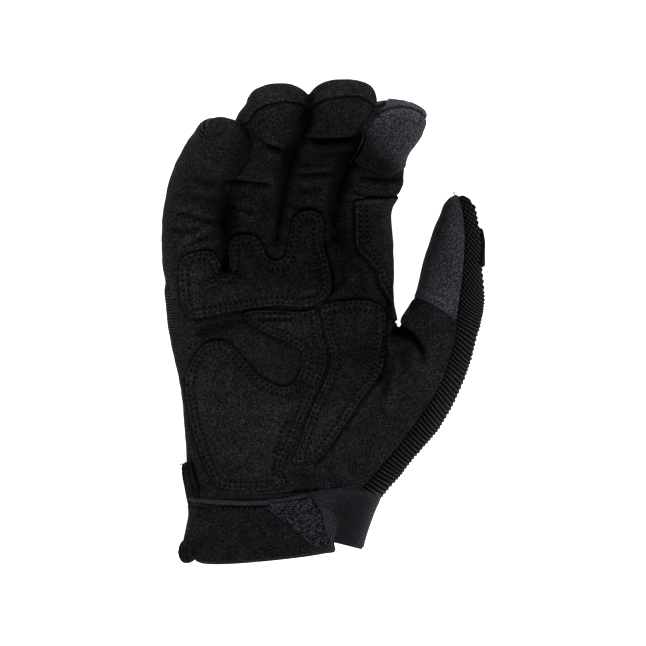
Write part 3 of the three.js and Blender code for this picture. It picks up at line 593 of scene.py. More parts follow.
def outline_distance(points, outline, reach=12.0):
    """How far points lie inside an outline seen from above, negative outside and at least minus reach."""
    x, y = points[:, 0], points[:, 1]
    low, high = outline.min(0) - reach, outline.max(0) + reach
    near = (x > low[0]) & (x < high[0]) & (y > low[1]) & (y < high[1])
    result = np.full(len(points), -float(reach))
    x, y = x[near], y[near]
    best = np.full(len(x), np.inf)
    inside = np.zeros(len(x), bool)
    for p, q in zip(outline, np.roll(outline, -1, 0)):
        edge = q - p
        t = np.clip(((x - p[0]) * edge[0] + (y - p[1]) * edge[1]) / max(edge @ edge, 1e-12), 0, 1)
        best = np.minimum(best, np.hypot(x - p[0] - t * edge[0], y - p[1] - t * edge[1]))
        if p[1] != q[1]:
            inside ^= ((p[1] > y) != (q[1] > y)) & (x < (q[0] - p[0]) * (y - p[1]) / (q[1] - p[1]) + p[0])
    result[near] = np.maximum(np.where(inside, best, -best), -reach)
    return result


def line_distance(points, line):
    """How far points lie from an open line seen from above and how far along it, and its length."""
    best, along = np.full(len(points), np.inf), np.zeros(len(points))
    done = 0.0
    for p, q in zip(line[:-1], line[1:]):
        edge = q - p
        length = math.sqrt(edge @ edge)
        off = points[:, :2] - p
        t = np.clip((off @ edge) / length**2, 0, 1)
        d = np.hypot(*(off - t[:, None] * edge).T)
        nearer = d < best
        best[nearer] = d[nearer]
        along[nearer] = done + t[nearer] * length
        done += length
    return best, along, done


def step_up(value, low, high):
    """0 below low, 1 above high, and smooth between them."""
    t = np.clip((value - low) / (high - low), 0, 1)
    return t * t * (3 - 2 * t)


def bell(value, width):
    """1 at 0, and smoothly down to 0 away from it."""
    return np.exp(-((value / width) ** 2))


def roll(distance, radius):
    """The height of a rounded edge of a radius, as a share of it."""
    return np.sqrt(1 - (1 - np.clip(distance / radius, 0, 1)) ** 2)


def lumps(points, table):
    """Smooth noise at each point, added up from rows of height and size in mm and seed."""
    total = 0
    for height, size, seed in table:
        offset = Vector((seed * 17.3, seed * 5.1, seed * 9.7))
        total = total + height * np.array([noise.noise(Vector(p) / size + offset) for p in points])
    return total


def unit(vectors):
    """Vectors of length 1."""
    return vectors / np.maximum(np.linalg.norm(vectors, axis=1), 1e-12)[:, None]


def square_to(along, up=(0.0, 0.0, 1.0)):
    """Two directions square to each of some directions: one square to up too, and one nearly up."""
    across = unit(np.cross(along, up))
    return across, np.cross(across, along)


def near_line(photo, line_px, reach):
    """Which points are near a line of the photograph, how far off in mm and how far along, and its length."""
    line = smooth_line(line_px, 2.0)
    reach = reach / PIXEL
    near = ((photo > line.min(0) - reach) & (photo < line.max(0) + reach)).all(1)
    away, along, length = line_distance(photo[near], line)
    return near, away * PIXEL, along, length


def kept_up(points):
    """Moves points below the floor up onto it."""
    points[..., 2] = np.maximum(points[..., 2], 0)


def kd_tree(places):
    """A tree that finds the nearest of some places."""
    tree = KDTree(len(places))
    for k, place in enumerate(places):
        tree.insert(place, k)
    tree.balance()
    return tree


# Forms of the hand


def span_rows(rows):
    """Sections square to Y in the columns of the fingers' sections."""
    return [
        ((left + right) / 2, y, z, 0, (right - left) / 2, palm, back, HAND_SIDE, HAND_SIDE)
        for y, left, right, z, palm, back in rows
    ]


FORMS = [
    {"rows": span_rows(HAND), "reach": 8, "end": 2.2, "square": 3, "straight": True},
    {"rows": span_rows(KNUCKLES), "reach": 8, "end": 2.2, "square": 2.8, "straight": True},
    {"rows": LITTLE_FINGER, "reach": 8.4, "end": 2.5, "square": 2.2},
    {"rows": RING_FINGER, "reach": 9.6, "end": 2.6, "square": 2.2},
    {"rows": MIDDLE_FINGER, "reach": 7.4, "end": 3, "square": 2.4},
    {"rows": INDEX_FINGER, "reach": 5.0, "end": 3, "square": 2.4},
    {"rows": THUMB, "reach": 9.6, "end": 2, "square": 2.1},
]
RING_FORM, MIDDLE_FORM = 3, 4
WRIST_FORM = {"rows": span_rows(WRIST), "square": 2.8, "straight": True}
END_STEPS = [0.25, 0.45, 0.62, 0.76, 0.87, 0.94, 0.98, 0.997]


def form_sections(form, step=FORM_STEP):
    """The smooth sections of a form and of its rounded end: rows, directions, sizes and places along it."""
    rows = np.array(form["rows"], float)
    table = smooth_table(rows, rows[:, :3], step)
    slope = np.gradient(table[:, :3], axis=0)
    rise = slope[:, 2] / np.maximum(np.hypot(slope[:, 0], slope[:, 1]), 1e-9)
    turn = np.radians(table[:, TURN])
    along = np.stack([np.sin(turn), np.cos(turn), rise], 1)
    if form.get("straight"):
        along[:] = (0, 1, 0)
    along = unit(along)
    size = np.ones(len(table))
    if form.get("reach"):
        steps = np.array(END_STEPS)
        ends = np.repeat(table[-1:], len(steps), axis=0)
        ends[:, :3] += along[-1] * (form["reach"] * steps)[:, None]
        table = np.concatenate([table, ends])
        along = np.concatenate([along, np.repeat(along[-1:], len(steps), axis=0)])
        size = np.concatenate([size, (1 - steps ** form["end"]) ** (1 / form["end"])])
    place = table[:, Y] if form.get("straight") else rows[0, Y] + lengths_along(table[:, :3])
    return table, along, size, place


def form_rings(form, sides=FORM_SIDES, step=FORM_STEP):
    """Rings of points round a form, each from its widest point on the thumb side."""
    table, along, size, _ = form_sections(form, step)
    angle = (np.arange(sides) / sides * 2 * np.pi)[None]
    across, out = square_to(along)
    c, s = np.cos(angle), np.sin(angle)
    depth = np.where(s > 0, table[:, PALM, None], table[:, BACK, None])
    power = 2 / form["square"]
    wide = table[:, HALF, None] * size[:, None] * np.sign(c) * np.abs(c) ** power
    deep = depth * size[:, None] * np.sign(s) * np.abs(s) ** power
    return table[:, None, :3] + across[:, None] * wide[..., None] + out[:, None] * deep[..., None]


def ring_faces(rows, count):
    """Triangles between rows of closed rings of points."""
    r, i = np.meshgrid(np.arange(rows - 1), np.arange(count), indexing="ij")
    a, b = r * count + i, r * count + (i + 1) % count
    return np.concatenate([
        np.stack([a, b, a + count], -1).reshape(-1, 3),
        np.stack([b, b + count, a + count], -1).reshape(-1, 3),
    ])


def skin(rings):
    """Closed rings of points joined into a closed skin of triangles that face out."""
    rows, count = rings.shape[:2]
    points = np.concatenate([rings.reshape(-1, 3), rings[:1].mean(1), rings[-1:].mean(1)])
    ring, last = np.arange(count), (rows - 1) * count
    after = (ring + 1) % count
    faces = np.concatenate([
        ring_faces(rows, count),
        np.stack([np.full(count, rows * count), after, ring], 1),
        np.stack([np.full(count, rows * count + 1), last + ring, last + after], 1),
    ])
    a, b, c = (points[faces[:, k]] for k in range(3))
    return points, faces if (a * np.cross(b, c)).sum() > 0 else faces[:, ::-1]


def skins(solids):
    """The skins of several solids, each given as rings, as one mesh's points and triangles."""
    points, faces, start = [], [], 0
    for rings in solids:
        p, f = skin(rings)
        points.append(p)
        faces.append(f + start)
        start += len(p)
    return np.concatenate(points), np.concatenate(faces)


# Cloth: triangles with values at their points


class Cloth:
    """A skin of triangles, in mm, with a dictionary of values at its points."""

    def __init__(self, points, tris, values=None, normals=None):
        self.points, self.tris = points, tris
        self.values = dict(values or {})
        self.normals = normals_of(points, tris) if normals is None else normals
        self.coarse = None

    def merged(self, pairs, share):
        """Points, normals and values at a share of the way between pairs of points."""
        def mix(array):
            t = share.reshape((-1,) + (1,) * (array.ndim - 1))
            return array[pairs[:, 0]] * (1 - t) + array[pairs[:, 1]] * t
        return mix(self.points), mix(self.normals), {key: mix(array) for key, array in self.values.items()}

    def grown(self, points, normals, values, tris):
        """The cloth with more points, and with these triangles."""
        return Cloth(
            np.concatenate([self.points, points]),
            tris,
            {key: np.concatenate([array, values[key]]) for key, array in self.values.items()},
            np.concatenate([self.normals, normals]),
        )

    def trimmed(self):
        """The cloth without the points that none of its triangles has."""
        used, tris = np.unique(self.tris, return_inverse=True)
        values = {key: array[used] for key, array in self.values.items()}
        return Cloth(self.points[used], tris.reshape(-1, 3), values, self.normals[used])

    def clipped(self, field):
        """The part where the field is positive, with it as the value edge."""
        self.values["edge"] = field
        inside = field > 0
        count = inside[self.tris].sum(1)
        kept = [self.tris[count == 3]]
        pairs = edges_of(np.concatenate([self.tris[count == 1], self.tris[count == 2]]))
        pairs = pairs[inside[pairs[:, 0]] != inside[pairs[:, 1]]]
        between = pair_points(pairs, len(self.points))
        for wanted in (1, 2):
            some = self.tris[count == wanted]
            odd = inside[some] if wanted == 1 else ~inside[some]
            turn = np.argmax(odd, axis=1)
            a, b, c = (some[np.arange(len(some)), (turn + k) % 3] for k in range(3))
            ab, ac = between(a, b), between(a, c)
            if wanted == 1:
                kept.append(np.stack([a, ab, ac], 1))
            else:
                kept += [np.stack([ab, b, c], 1), np.stack([ab, c, ac], 1)]
        share = field[pairs[:, 0]] / (field[pairs[:, 0]] - field[pairs[:, 1]])
        points, normals, values = self.merged(pairs, np.clip(share, CUT_SHARE, 1 - CUT_SHARE))
        values["edge"][:] = 0
        return self.grown(points, normals, values, np.concatenate(kept)).trimmed()

    def halved(self):
        """The cloth with each triangle split into four, bulged as the normals say."""
        pairs = edges_of(self.tris)
        middle, normal, values = self.merged(pairs, np.full(len(pairs), 0.5))
        normal = unit(normal)
        p, n = self.points, self.normals
        bend = ((p[pairs[:, 1]] - p[pairs[:, 0]]) * (n[pairs[:, 1]] - n[pairs[:, 0]])).sum(1) / 8
        between = pair_points(pairs, len(p))
        a, b, c = self.tris.T
        ab, bc, ca = between(a, b), between(b, c), between(c, a)
        faces = [np.stack(f, 1) for f in ((a, ab, ca), (ab, b, bc), (ca, bc, c), (ab, bc, ca))]
        made = self.grown(middle + normal * bend[:, None], normal, values, np.concatenate(faces))
        made.coarse = (self.tris, between)
        return made

    def relaxed(self, array, times):
        """Values moved halfway to the mean of their neighbours, some times over."""
        edges = edges_of(self.tris)
        shape = (-1,) + (1,) * (array.ndim - 1)
        count = np.bincount(edges.ravel(), minlength=len(array)).reshape(shape)
        for _ in range(times):
            total = np.zeros_like(array)
            np.add.at(total, edges[:, 0], array[edges[:, 1]])
            np.add.at(total, edges[:, 1], array[edges[:, 0]])
            array = array + 0.5 * (total / np.maximum(count, 1) - array)
        return array

    def thickened(self, up, down):
        """A closed solid from down below the cloth to up above it: points, triangles and values.

        Where the cloth has been halved, the underside keeps its larger triangles.
        """
        count = len(self.points)
        under, between = self.coarse or (self.tris, None)
        low = under.max() + 1
        outer = self.points + self.normals * np.reshape(up, (-1, 1))
        depth = np.broadcast_to(np.reshape(down, (-1, 1)), (count, 1))[:low]
        inner = self.points[:low] - self.normals[:low] * depth
        directed = directed_edges(under)
        keys = directed[:, 0] * count + directed[:, 1]
        a, b = directed[~np.isin(directed[:, 1] * count + directed[:, 0], keys)].T
        sides = [np.stack([b, a + count, b + count], 1)]
        if between is None:
            sides.append(np.stack([b, a, a + count], 1))
        else:
            m = between(a, b)
            sides += [np.stack([b, m, a + count], 1), np.stack([m, a, a + count], 1)]
        points = np.concatenate([outer, inner])
        kept_up(points)
        values = {key: np.concatenate([array, array[:low]]) for key, array in self.values.items()}
        return points, np.concatenate([self.tris, under[:, ::-1] + count, *sides]), values


def normals_of(points, tris):
    """Smooth normals at the points of a mesh."""
    face = np.cross(points[tris[:, 1]] - points[tris[:, 0]], points[tris[:, 2]] - points[tris[:, 0]])
    normals = np.zeros_like(points)
    for k in range(3):
        np.add.at(normals, tris[:, k], face)
    return unit(normals)


def directed_edges(tris):
    """The edges of triangles, one direction after the other."""
    return np.concatenate([tris[:, [0, 1]], tris[:, [1, 2]], tris[:, [2, 0]]])


def edges_of(tris):
    """The edges of triangles, each once, as sorted pairs of points."""
    return np.unique(np.sort(directed_edges(tris), axis=1), axis=0)


def pair_points(pairs, total):
    """A function for the numbers of the new points between two points each, one for each sorted pair."""
    keys = pairs[:, 0] * total + pairs[:, 1]

    def between(a, b):
        return total + np.searchsorted(keys, np.minimum(a, b) * total + np.maximum(a, b))

    return between


def new_object(name, data):
    """An object in the scene."""
    made = bpy.data.objects.new(name, data)
    bpy.context.scene.collection.objects.link(made)
    return made


def make_object(name, points, tris, material, sharp=50, attributes=None):
    """A mesh object in metres from arrays in mm."""
    mesh = bpy.data.meshes.new(name)
    mesh.vertices.add(len(points))
    mesh.vertices.foreach_set("co", (np.asarray(points) * MM).astype(np.float32).ravel())
    mesh.loops.add(len(tris) * 3)
    mesh.loops.foreach_set("vertex_index", np.asarray(tris).astype(np.int32).ravel())
    mesh.polygons.add(len(tris))
    mesh.polygons.foreach_set("loop_start", np.arange(0, len(tris) * 3, 3, dtype=np.int32))
    mesh.polygons.foreach_set("use_smooth", np.ones(len(tris), bool))
    mesh.update(calc_edges=True)
    if sharp:
        mesh.set_sharp_from_angle(angle=math.radians(sharp))
    for key, values in (attributes or {}).items():
        attribute = mesh.attributes.new(key, "FLOAT", "POINT")
        attribute.data.foreach_set("value", np.asarray(values).astype(np.float32))
    mesh.materials.append(material)
    return new_object(name, mesh)


def add_piece(name, solid, material, replaced=()):
    """A piece from points, triangles and values; it rides on the glove and may stand for CAD nodes."""
    points, tris, values = solid
    shown = {key: values[key] for key in SHOWN if key in values}
    made = make_object(name, points, tris, material, attributes=shown)
    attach(made, BODY)
    if replaced:
        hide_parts(*replaced)
    return made


# The glove's body


def voxel_union():
    """All the forms joined into one smooth closed skin."""
    rough = make_object("rough", *skins(form_rings(form) for form in FORMS), None, sharp=0)
    modifier = rough.modifiers.new("union", "REMESH")
    modifier.mode = "VOXEL"
    modifier.voxel_size = VOXEL * MM
    made = rough.evaluated_get(bpy.context.evaluated_depsgraph_get()).to_mesh()
    made.calc_loop_triangles()
    points = np.empty(len(made.vertices) * 3)
    made.vertices.foreach_get("co", points)
    tris = np.empty(len(made.loop_triangles) * 3, np.int32)
    made.loop_triangles.foreach_get("vertices", tris)
    mesh = rough.data
    bpy.data.objects.remove(rough)
    bpy.data.meshes.remove(mesh)
    return points.reshape(-1, 3) / MM, tris.reshape(-1, 3).astype(np.int64)


def nearest_sections(points):
    """For each point its form, its place along that, the two ends of the palm's cloth there, and the form's
    centre and direction.
    """
    rings, facts = [], []
    for number, form in enumerate(FORMS):
        table, along, _, place = form_sections(form)
        rings.append(form_rings(form).reshape(-1, 3))
        owner = np.full(len(table), number)
        facts.append(np.column_stack([owner, place, table[:, [INNER, OUTER]], table[:, :3], along]))
    tree = kd_tree(np.concatenate(rings))
    found = np.array([tree.find(p)[1] for p in points]) // FORM_SIDES
    facts = np.concatenate(facts)[found]
    return (*facts[:, :4].T, facts[:, 4:7], facts[:, 7:])


def fold_height(photo, folds, swell=0.45):
    """How far folds press the cloth in, with a low swell on both sides of each."""
    height = np.zeros(len(photo))
    for depth, width, line_px in folds:
        near, away, along, length = near_line(photo, line_px, 5 * width)
        ends = step_up(along, -1, 0.2 * length) * step_up(length - along, -1, 0.2 * length)
        height[near] += depth * ends * (swell * bell(away - 2.3 * width, 1.1 * width) - bell(away, width))
    return height


def painted_shading_value(points):
    """How much painted shade darkens each point, as a share, and below 0 where painted light makes it
    lighter.
    """
    photo = to_photo(points)
    value = np.zeros(len(photo))
    for share, width, line_px in PAINTED_SHADING_PX:
        near, away, _, _ = near_line(photo, line_px, 2.5 * width)
        value[near] += share * bell(away, width)
    return np.clip(value, SHADING_LEAST, SHADING_MOST)


def make_body():
    """The glove's whole outer skin with its folds, and the values that its seams are cut by."""
    points, tris = voxel_union()
    points = Cloth(points, tris).relaxed(points, 5)
    kept_up(points)
    body = Cloth(points, tris)
    owner, place, inner, outer, centre, along = nearest_sections(points)
    across, out = square_to(along)
    facing = (body.normals * out).sum(1)
    on_inner = (body.normals * across).sum(1) > 0
    rise = np.sin(np.radians(np.where(on_inner, inner, outer)))
    photo = to_photo(points)
    up = step_up(body.normals[:, 2], -0.2, 0.5)
    folds = fold_height(photo, FOLDS_PX)
    height = (folds + fold_height(photo, HOLLOWS_PX)) * up
    height += lumps(points, BODY_LUMPS) * step_up(points[:, 2], 0.5, 6)
    body.values = {
        "owner": owner,
        "run": body.relaxed(place + ((points - centre) * along).sum(1), 12),
        "facing": body.relaxed(facing, 6),
        "rise": body.relaxed((facing - rise) * SIDE_MM, 8),
        # Painted shade in the folds and painted light on the swells beside them, added to the painted shading
        # of the table
        "painted_shading": painted_shading_value(points) - FOLD_SHADING * np.clip(folds, -1.4, 0.6) * up,
    }
    body.points = points + body.normals * height[:, None]
    body.points[:, 2] += fold_height(photo, SLITS_PX, 0.12) * step_up(points[:, 2], 12, 18)
    kept_up(body.points)
    body.normals = normals_of(body.points, tris)
    return body


def set_seams(body):
    """Values for how far each point is inside the suede, the thumb's parts, the caps and the hand."""
    photo = to_photo(body.points)
    seam = np.concatenate([
        smooth_line(LITTLE_SEAM_PX, 3), SUEDE_LOW_PX, smooth_line(THUMB_SEAM_PX, 3)[::-1], SUEDE_HIGH_PX,
    ])
    values = body.values
    values["suede"] = np.minimum(outline_distance(photo, seam, FAR) * PIXEL, values["rise"])
    values["front"] = outline_distance(body.points, np.array(THUMB_FRONT_SIDE, float), FAR)
    values["back"] = outline_distance(body.points, np.array(THUMB_BACK_SIDE, float), FAR)
    for key, number, outline in (("ring", RING_FORM, RING_CAP), ("middle", MIDDLE_FORM, MIDDLE_CAP)):
        own = body.relaxed(np.where(values["owner"] == number, 3.0, -3.0), 4)
        values[key] = np.minimum(outline_distance(body.points, rounded(outline), FAR), own)
    values["cap"] = np.maximum(values["ring"], values["middle"])
    values["hand"] = body.points[:, 1] - HAND_END_Y


def nearest_edge(cloth, *keys):
    """How far each point is from the nearest of some seams."""
    return np.minimum.reduce([np.abs(cloth.values[key]) for key in keys])


def pad_groove(cloth):
    """How far the cloth is pressed in along the outlines of the pads."""
    depth = np.zeros(len(cloth.points))
    for outline in (KNUCKLE_PAD, HEEL_PAD, THENAR_PAD, INDEX_SIDE_PATCH):
        depth = np.maximum(depth, bell(outline_distance(cloth.points, rounded(outline)) + 0.3, 0.8))
    return 0.6 * depth


def pad_shade(cloth):
    """How much painted shadow darkens the cloth close outside the overlays, most of all above and to the
    right of them.
    """
    reach = 0.5
    step = reach * np.array([0.5, 0.866, 0.0])
    shade = np.zeros(len(cloth.points))
    for outline in (KNUCKLE_PAD, HEEL_PAD, THENAR_PAD):
        outline = rounded(outline)
        inside = outline_distance(cloth.points, outline)
        away = (inside - outline_distance(cloth.points + step, outline)) / reach
        shade = np.maximum(shade, PAD_SHADE * (1 + 0.7 * away) * bell(inside + 0.6, 0.75))
    return shade


def suede_rise(cloth):
    """How far the suede stands above the knit: nothing at its seams and under the wrist band."""
    edge = nearest_edge(cloth, "suede", "cap")
    side = 0.7 + 0.3 * roll(nearest_edge(cloth, "front"), 0.6)
    return SUEDE_PROUD * roll(edge, 0.8) * side * step_up(cloth.points[:, 1], WRIST_Y - 1.5, WRIST_Y + 1.5)


def seen_from_above(cloth):
    """A function for the place and normal of the cloth below X and Y, or None where there is no cloth."""
    tree = BVHTree.FromPolygons([tuple(p) for p in cloth.points], cloth.tris.tolist())

    def below(x, y):
        place, normal, _, _ = tree.ray_cast(Vector((x, y, SKY)), Vector((0, 0, -1)))
        return None if place is None else (np.array(place), np.array(normal))

    return below


def stitch_holes(rows, cloth):
    """The needle holes of rows of stitches, on the cloth below each, as lists of points and normals."""
    below = seen_from_above(cloth)
    runs = []
    for row in rows:
        run = []
        for x, y in spaced(row, STITCH_PITCH):
            hole = below(x, y)
            if hole and hole[1][2] > STEEPEST:
                run.append(hole)
            elif run:
                runs.append(run)
                run = []
        if run:
            runs.append(run)
    return runs


def hole_value(cloth, runs):
    """1 in the middle of a needle hole and 0 away from it, at each point of the cloth."""
    places = [place for run in runs for place, _ in run]
    if not places:
        return np.zeros(len(cloth.points))
    tree = kd_tree(places)
    return np.array([bell(tree.find(p)[2], HOLE) for p in cloth.points])


def rows_inside(outline, depth):
    """Open runs of points at a depth inside a closed outline."""
    ahead = np.roll(outline, -1, 0) - np.roll(outline, 1, 0)
    inward = unit(np.stack([-ahead[:, 1], ahead[:, 0]], 1))
    x, y = outline.T
    if (x * np.roll(y, -1) - np.roll(x, -1) * y).sum() < 0:
        inward = -inward
    moved = outline + inward * depth
    good = outline_distance(moved, outline) > depth - 0.15
    if good.all():
        return [np.concatenate([moved, moved[:1]])]
    start = int(np.argmin(good))
    moved, good = np.roll(moved, -start, 0), np.roll(good, -start)
    breaks = np.flatnonzero(np.diff(np.concatenate([[0], good.astype(int), [0]])))
    return [moved[a:b] for a, b in breaks.reshape(-1, 2) if b - a > 3]


THREADS = []


def sew(runs, height):
    """Keeps the stitches of some runs of holes, at a height above their cloth, for the thread mesh."""
    for run in runs:
        for (p, n), (q, m) in zip(run[:-1], run[1:]):
            if np.linalg.norm(q - p) < LONGEST_STITCH:
                THREADS.append((p + n * height, q + m * height, (n + m) / 2))


# Panels


def knit_phase(cloth):
    """The place of each point of the thumb's knit across its ribs, in ribs, and along them, in loops."""
    photo = to_photo(cloth.points)
    seam = smooth_line(THUMB_SEAM_PX, 3)
    d, along, _ = line_distance(photo, seam)
    slope = np.interp(photo[:, 1], *zip(*RIB_SLOPE))
    return (along - slope * d) * PIXEL / THUMB_RIB, d * PIXEL / KNIT_LOOP


def make_panels(body, looks):
    """The cloth panels, cut one after another so that they meet exactly."""
    set_seams(body)
    hand = body.clipped(body.values["hand"])
    caps, rest = hand.clipped(hand.values["cap"]), hand.clipped(-hand.values["cap"])
    suede, knit = rest.clipped(rest.values["suede"]), rest.clipped(-rest.values["suede"])
    make_suede(suede, looks["suede"])
    make_fine_knit(knit.clipped(-knit.values["back"]), looks["fine_knit"])
    make_thumb_knit(knit.clipped(knit.values["back"]), looks["knit"])
    make_caps(caps, looks["suede"])


def make_suede(suede, look):
    """The palm's cloth and the thumb's."""
    palm = suede.clipped(-suede.values["front"])
    runs = stitch_holes([from_photo(row, SEAM_Z) for row in SEAM_ROWS_PX], palm)
    # Painted shadow round the pads
    palm.values["painted_shading"] += pad_shade(palm)
    # Painted shade along the seam with the caps
    palm.values["hole"] = bell(palm.values["cap"], 0.7)
    solid = palm.thickened(suede_rise(palm) - pad_groove(palm), CLOTH)
    add_piece("palm_suede", solid, look, ["palm_panel"])
    sew(runs, SUEDE_PROUD)

    thumb = suede.clipped(suede.values["front"])
    # Painted shadow round the pads
    thumb.values["painted_shading"] += pad_shade(thumb)
    add_piece("thumb_suede", thumb.thickened(suede_rise(thumb), CLOTH), look, ["thumb_panel"])


def make_fine_knit(back, look):
    """The knit of the hand and fingers, with a finer mesh where it shows beside the suede."""
    back.values["phase"] = back.values["run"] / FINE_RIB
    back.values["strip"] = np.minimum.reduce([
        back.values["suede"] + STRIP_WIDE,
        back.values["facing"] * FACING_MM + 7,
        STRIP_RIGHT - back.points[:, 0],
    ])
    nodes = ["back_panel"] + [f"{finger}_finger_back" for finger in ("little", "ring", "middle", "index")]
    for name, sign, replaced in (("back_knit", -1, nodes), ("little_side_knit", 1, ())):
        part = back.clipped(sign * back.values["strip"])
        if sign > 0:
            part = part.halved()
        up = -0.3 * bell(nearest_edge(part, "suede", "cap"), 0.6)
        add_piece(name, part.thickened(up, CLOTH), look, replaced)


def make_thumb_knit(side, look):
    """The ribbed knit on the back and the side of the thumb."""
    side = side.halved()
    side.values["phase"], side.values["cross"] = knit_phase(side)
    away = side.values["cross"] * KNIT_LOOP
    # Painted shade beside the seam, and painted light further from it
    side.values["painted_shading"] = side.values["painted_shading"] + 0.75 * bell(away - 0.3, 0.9) - 0.3 * step_up(away, 4, 13)
    wave = THUMB_RIB_HEIGHT * np.cos(2 * np.pi * side.values["phase"])
    wave *= step_up(side.values["facing"], -0.9, -0.6)
    up = wave * step_up(nearest_edge(side, "suede"), 0, 1.2) - 0.1
    add_piece("thumb_back_knit", side.thickened(up, CLOTH), look, ["thumb_back_panel"])


def make_caps(caps, look):
    """The suede caps over the ring and middle fingertips."""
    apart = caps.values["ring"] - caps.values["middle"]
    for name, field, node in (("ring_cap", apart, "ring_tip_cap"), ("middle_cap", -apart, "middle_tip_cap")):
        cap = caps.clipped(field).halved()
        edge = cap.values["cap"]
        runs = stitch_holes([from_photo(row, CAP_Z) for row in CAP_ROWS_PX], cap)
        # Painted shade in the needle holes and along the seam, and a painted highlight just inside the seam
        cap.values["hole"] = np.maximum(hole_value(cap, runs), 0.8 * bell(edge, 0.45))
        cap.values["painted_shading"] -= 0.35 * bell(edge - 1.0, 0.6)
        up = SUEDE_PROUD * roll(np.abs(edge), 0.8) + 0.1 - 0.3 * cap.values["hole"]
        add_piece(name, cap.thickened(up, CLOTH), look, [node])
        sew(runs, SUEDE_PROUD)


# Pads and patches


def laid_on(body, outline, low=20.0, facing=0.05):
    """The part of the body's skin within an outline, on the palm side and above a height."""
    return body.clipped(np.minimum.reduce([
        outline_distance(body.points, outline),
        (body.values["facing"] - facing) * FACING_MM,
        body.points[:, 2] - low,
    ])).halved()


def make_pad(body, name, outline_table, thick, node, look, rows_px=()):
    """A padded overlay: a folded edge, two rows of stitches along it, and foam inside them."""
    outline = rounded(outline_table)
    pad = laid_on(body, outline)
    edge = outline_distance(pad.points, outline)
    rows = [run for depth in (ROW_ONE, ROW_TWO) for run in rows_inside(outline, depth)]
    runs = stitch_holes(rows + photo_rows(rows_px, PAD_Z), pad)
    holes = hole_value(pad, runs)
    folds = fold_height(to_photo(pad.points), PAD_FOLDS_PX)
    # Painted shade in the needle holes, along the outline and in the grooves of the rows
    grooves = ROW_SHADE * (bell(edge - ROW_ONE, 0.5) + bell(edge - ROW_TWO, 0.5))
    pad.values["hole"] = np.maximum.reduce([holes, bell(edge, 0.35), grooves])
    # Painted highlight on the turned edge and on the ridge between the rows, and painted shade and light in
    # the pad's folds
    rim = RIM_LIGHT * bell(edge - 0.7, 0.42) + RIDGE_LIGHT * bell(edge - (ROW_ONE + ROW_TWO) / 2, 0.8)
    pad.values["painted_shading"] = pad.values["painted_shading"] - rim - FOLD_SHADING * folds
    height = PAD_BASE + PAD_EDGE * roll(edge, 0.9)
    height += (thick - PAD_EDGE) * step_up(edge, ROW_TWO - 0.5, ROW_TWO + 6)
    height -= sum(depth * bell(edge - row, width) for row, depth, width in PAD_GROOVES)
    height += folds * step_up(edge, 0.4, 1.6)
    height += lumps(pad.points, PAD_LUMPS) * step_up(edge, 1, 4)
    height -= 0.2 * holes
    made = add_piece(name, pad.thickened(height, -SEAT), look, [node])
    sew(runs, PAD_BASE + PAD_EDGE - 0.3)


def make_patch(body, name, outline_table, node, look, rows, facing, pressed,
               thick=0.75, low=17.0, rim=0.0):
    """A flat overlay with a turned edge and rows of stitches that press it in."""
    patch = laid_on(body, rounded(outline_table), low, facing)
    runs = stitch_holes(rows, patch)
    hole = hole_value(patch, runs)
    edge = patch.values["edge"]
    height = PATCH_BASE + thick * roll(edge, 0.7) - 0.5 * hole
    height += lumps(patch.points, PATCH_LUMPS)
    for row in rows:
        off = line_distance(patch.points, row)[0]
        height -= pressed * bell(off, 0.6)
        # Painted shade in the pressed rows
        hole = np.maximum(hole, pressed * 1.25 * bell(off, 0.5))
    # Painted shade along the edge, and a painted highlight, as strong as rim, just inside it
    patch.values["hole"] = np.maximum(hole, 0.9 * bell(edge, 0.4))
    patch.values["painted_shading"] -= rim * bell(edge - 0.8, 0.45)
    add_piece(name, patch.thickened(height, -SEAT), look, [node])
    sew(runs, PATCH_BASE + thick - 0.1)


def make_thumb_touch(body, look):
    """The touch fabric on the thumb tip, up to the thumb's seam."""
    left_of_seam = np.concatenate([smooth_line(THUMB_SEAM_PX, 3), THUMB_LEFT_PX])
    patch = body.clipped(np.minimum.reduce([
        outline_distance(body.points, rounded(THUMB_TIP_PATCH)),
        outline_distance(to_photo(body.points), left_of_seam, FAR) * PIXEL,
        (body.values["facing"] + 0.15) * FACING_MM,
        body.points[:, 2] - 20,
    ])).halved()
    solid = patch.thickened(0.25 + 0.6 * roll(patch.values["edge"], 0.7), -SEAT)
    add_piece("thumb_touch", solid, look, ["thumb_tip_patch"])


def make_guard(body, look):
    """The smooth guard on the back of the thumb."""
    g = THUMB_GUARD
    x, y, z = body.points.T
    along = np.minimum(y - g["low"], g["high"] - y)
    around = np.minimum(z - g["bottom"], g["top"] - z)
    corner = np.hypot(np.maximum(g["corner"] - along, 0), np.maximum(g["corner"] - around, 0))
    guard = body.clipped(np.minimum(g["corner"] - corner, x - g["left"])).halved()
    edge = guard.values["edge"]
    solid = guard.thickened(0.2 + g["thick"] * roll(edge, 1.6), -0.05)
    add_piece("thumb_guard_shell", solid, look, ["thumb_guard"])


def make_piping(body, look):
    """The rolled seam along the index finger."""
    below = seen_from_above(body)
    spots = [below(x, y) for x, y in photo_rows([PIPING_PX], PIPING_Z, 1.5)[0]]
    path = [place + normal * (SUEDE_PROUD + 0.1) for place, normal in spots]
    add_piece("index_seam_fold", tubes([path], PIPING, 8), look)


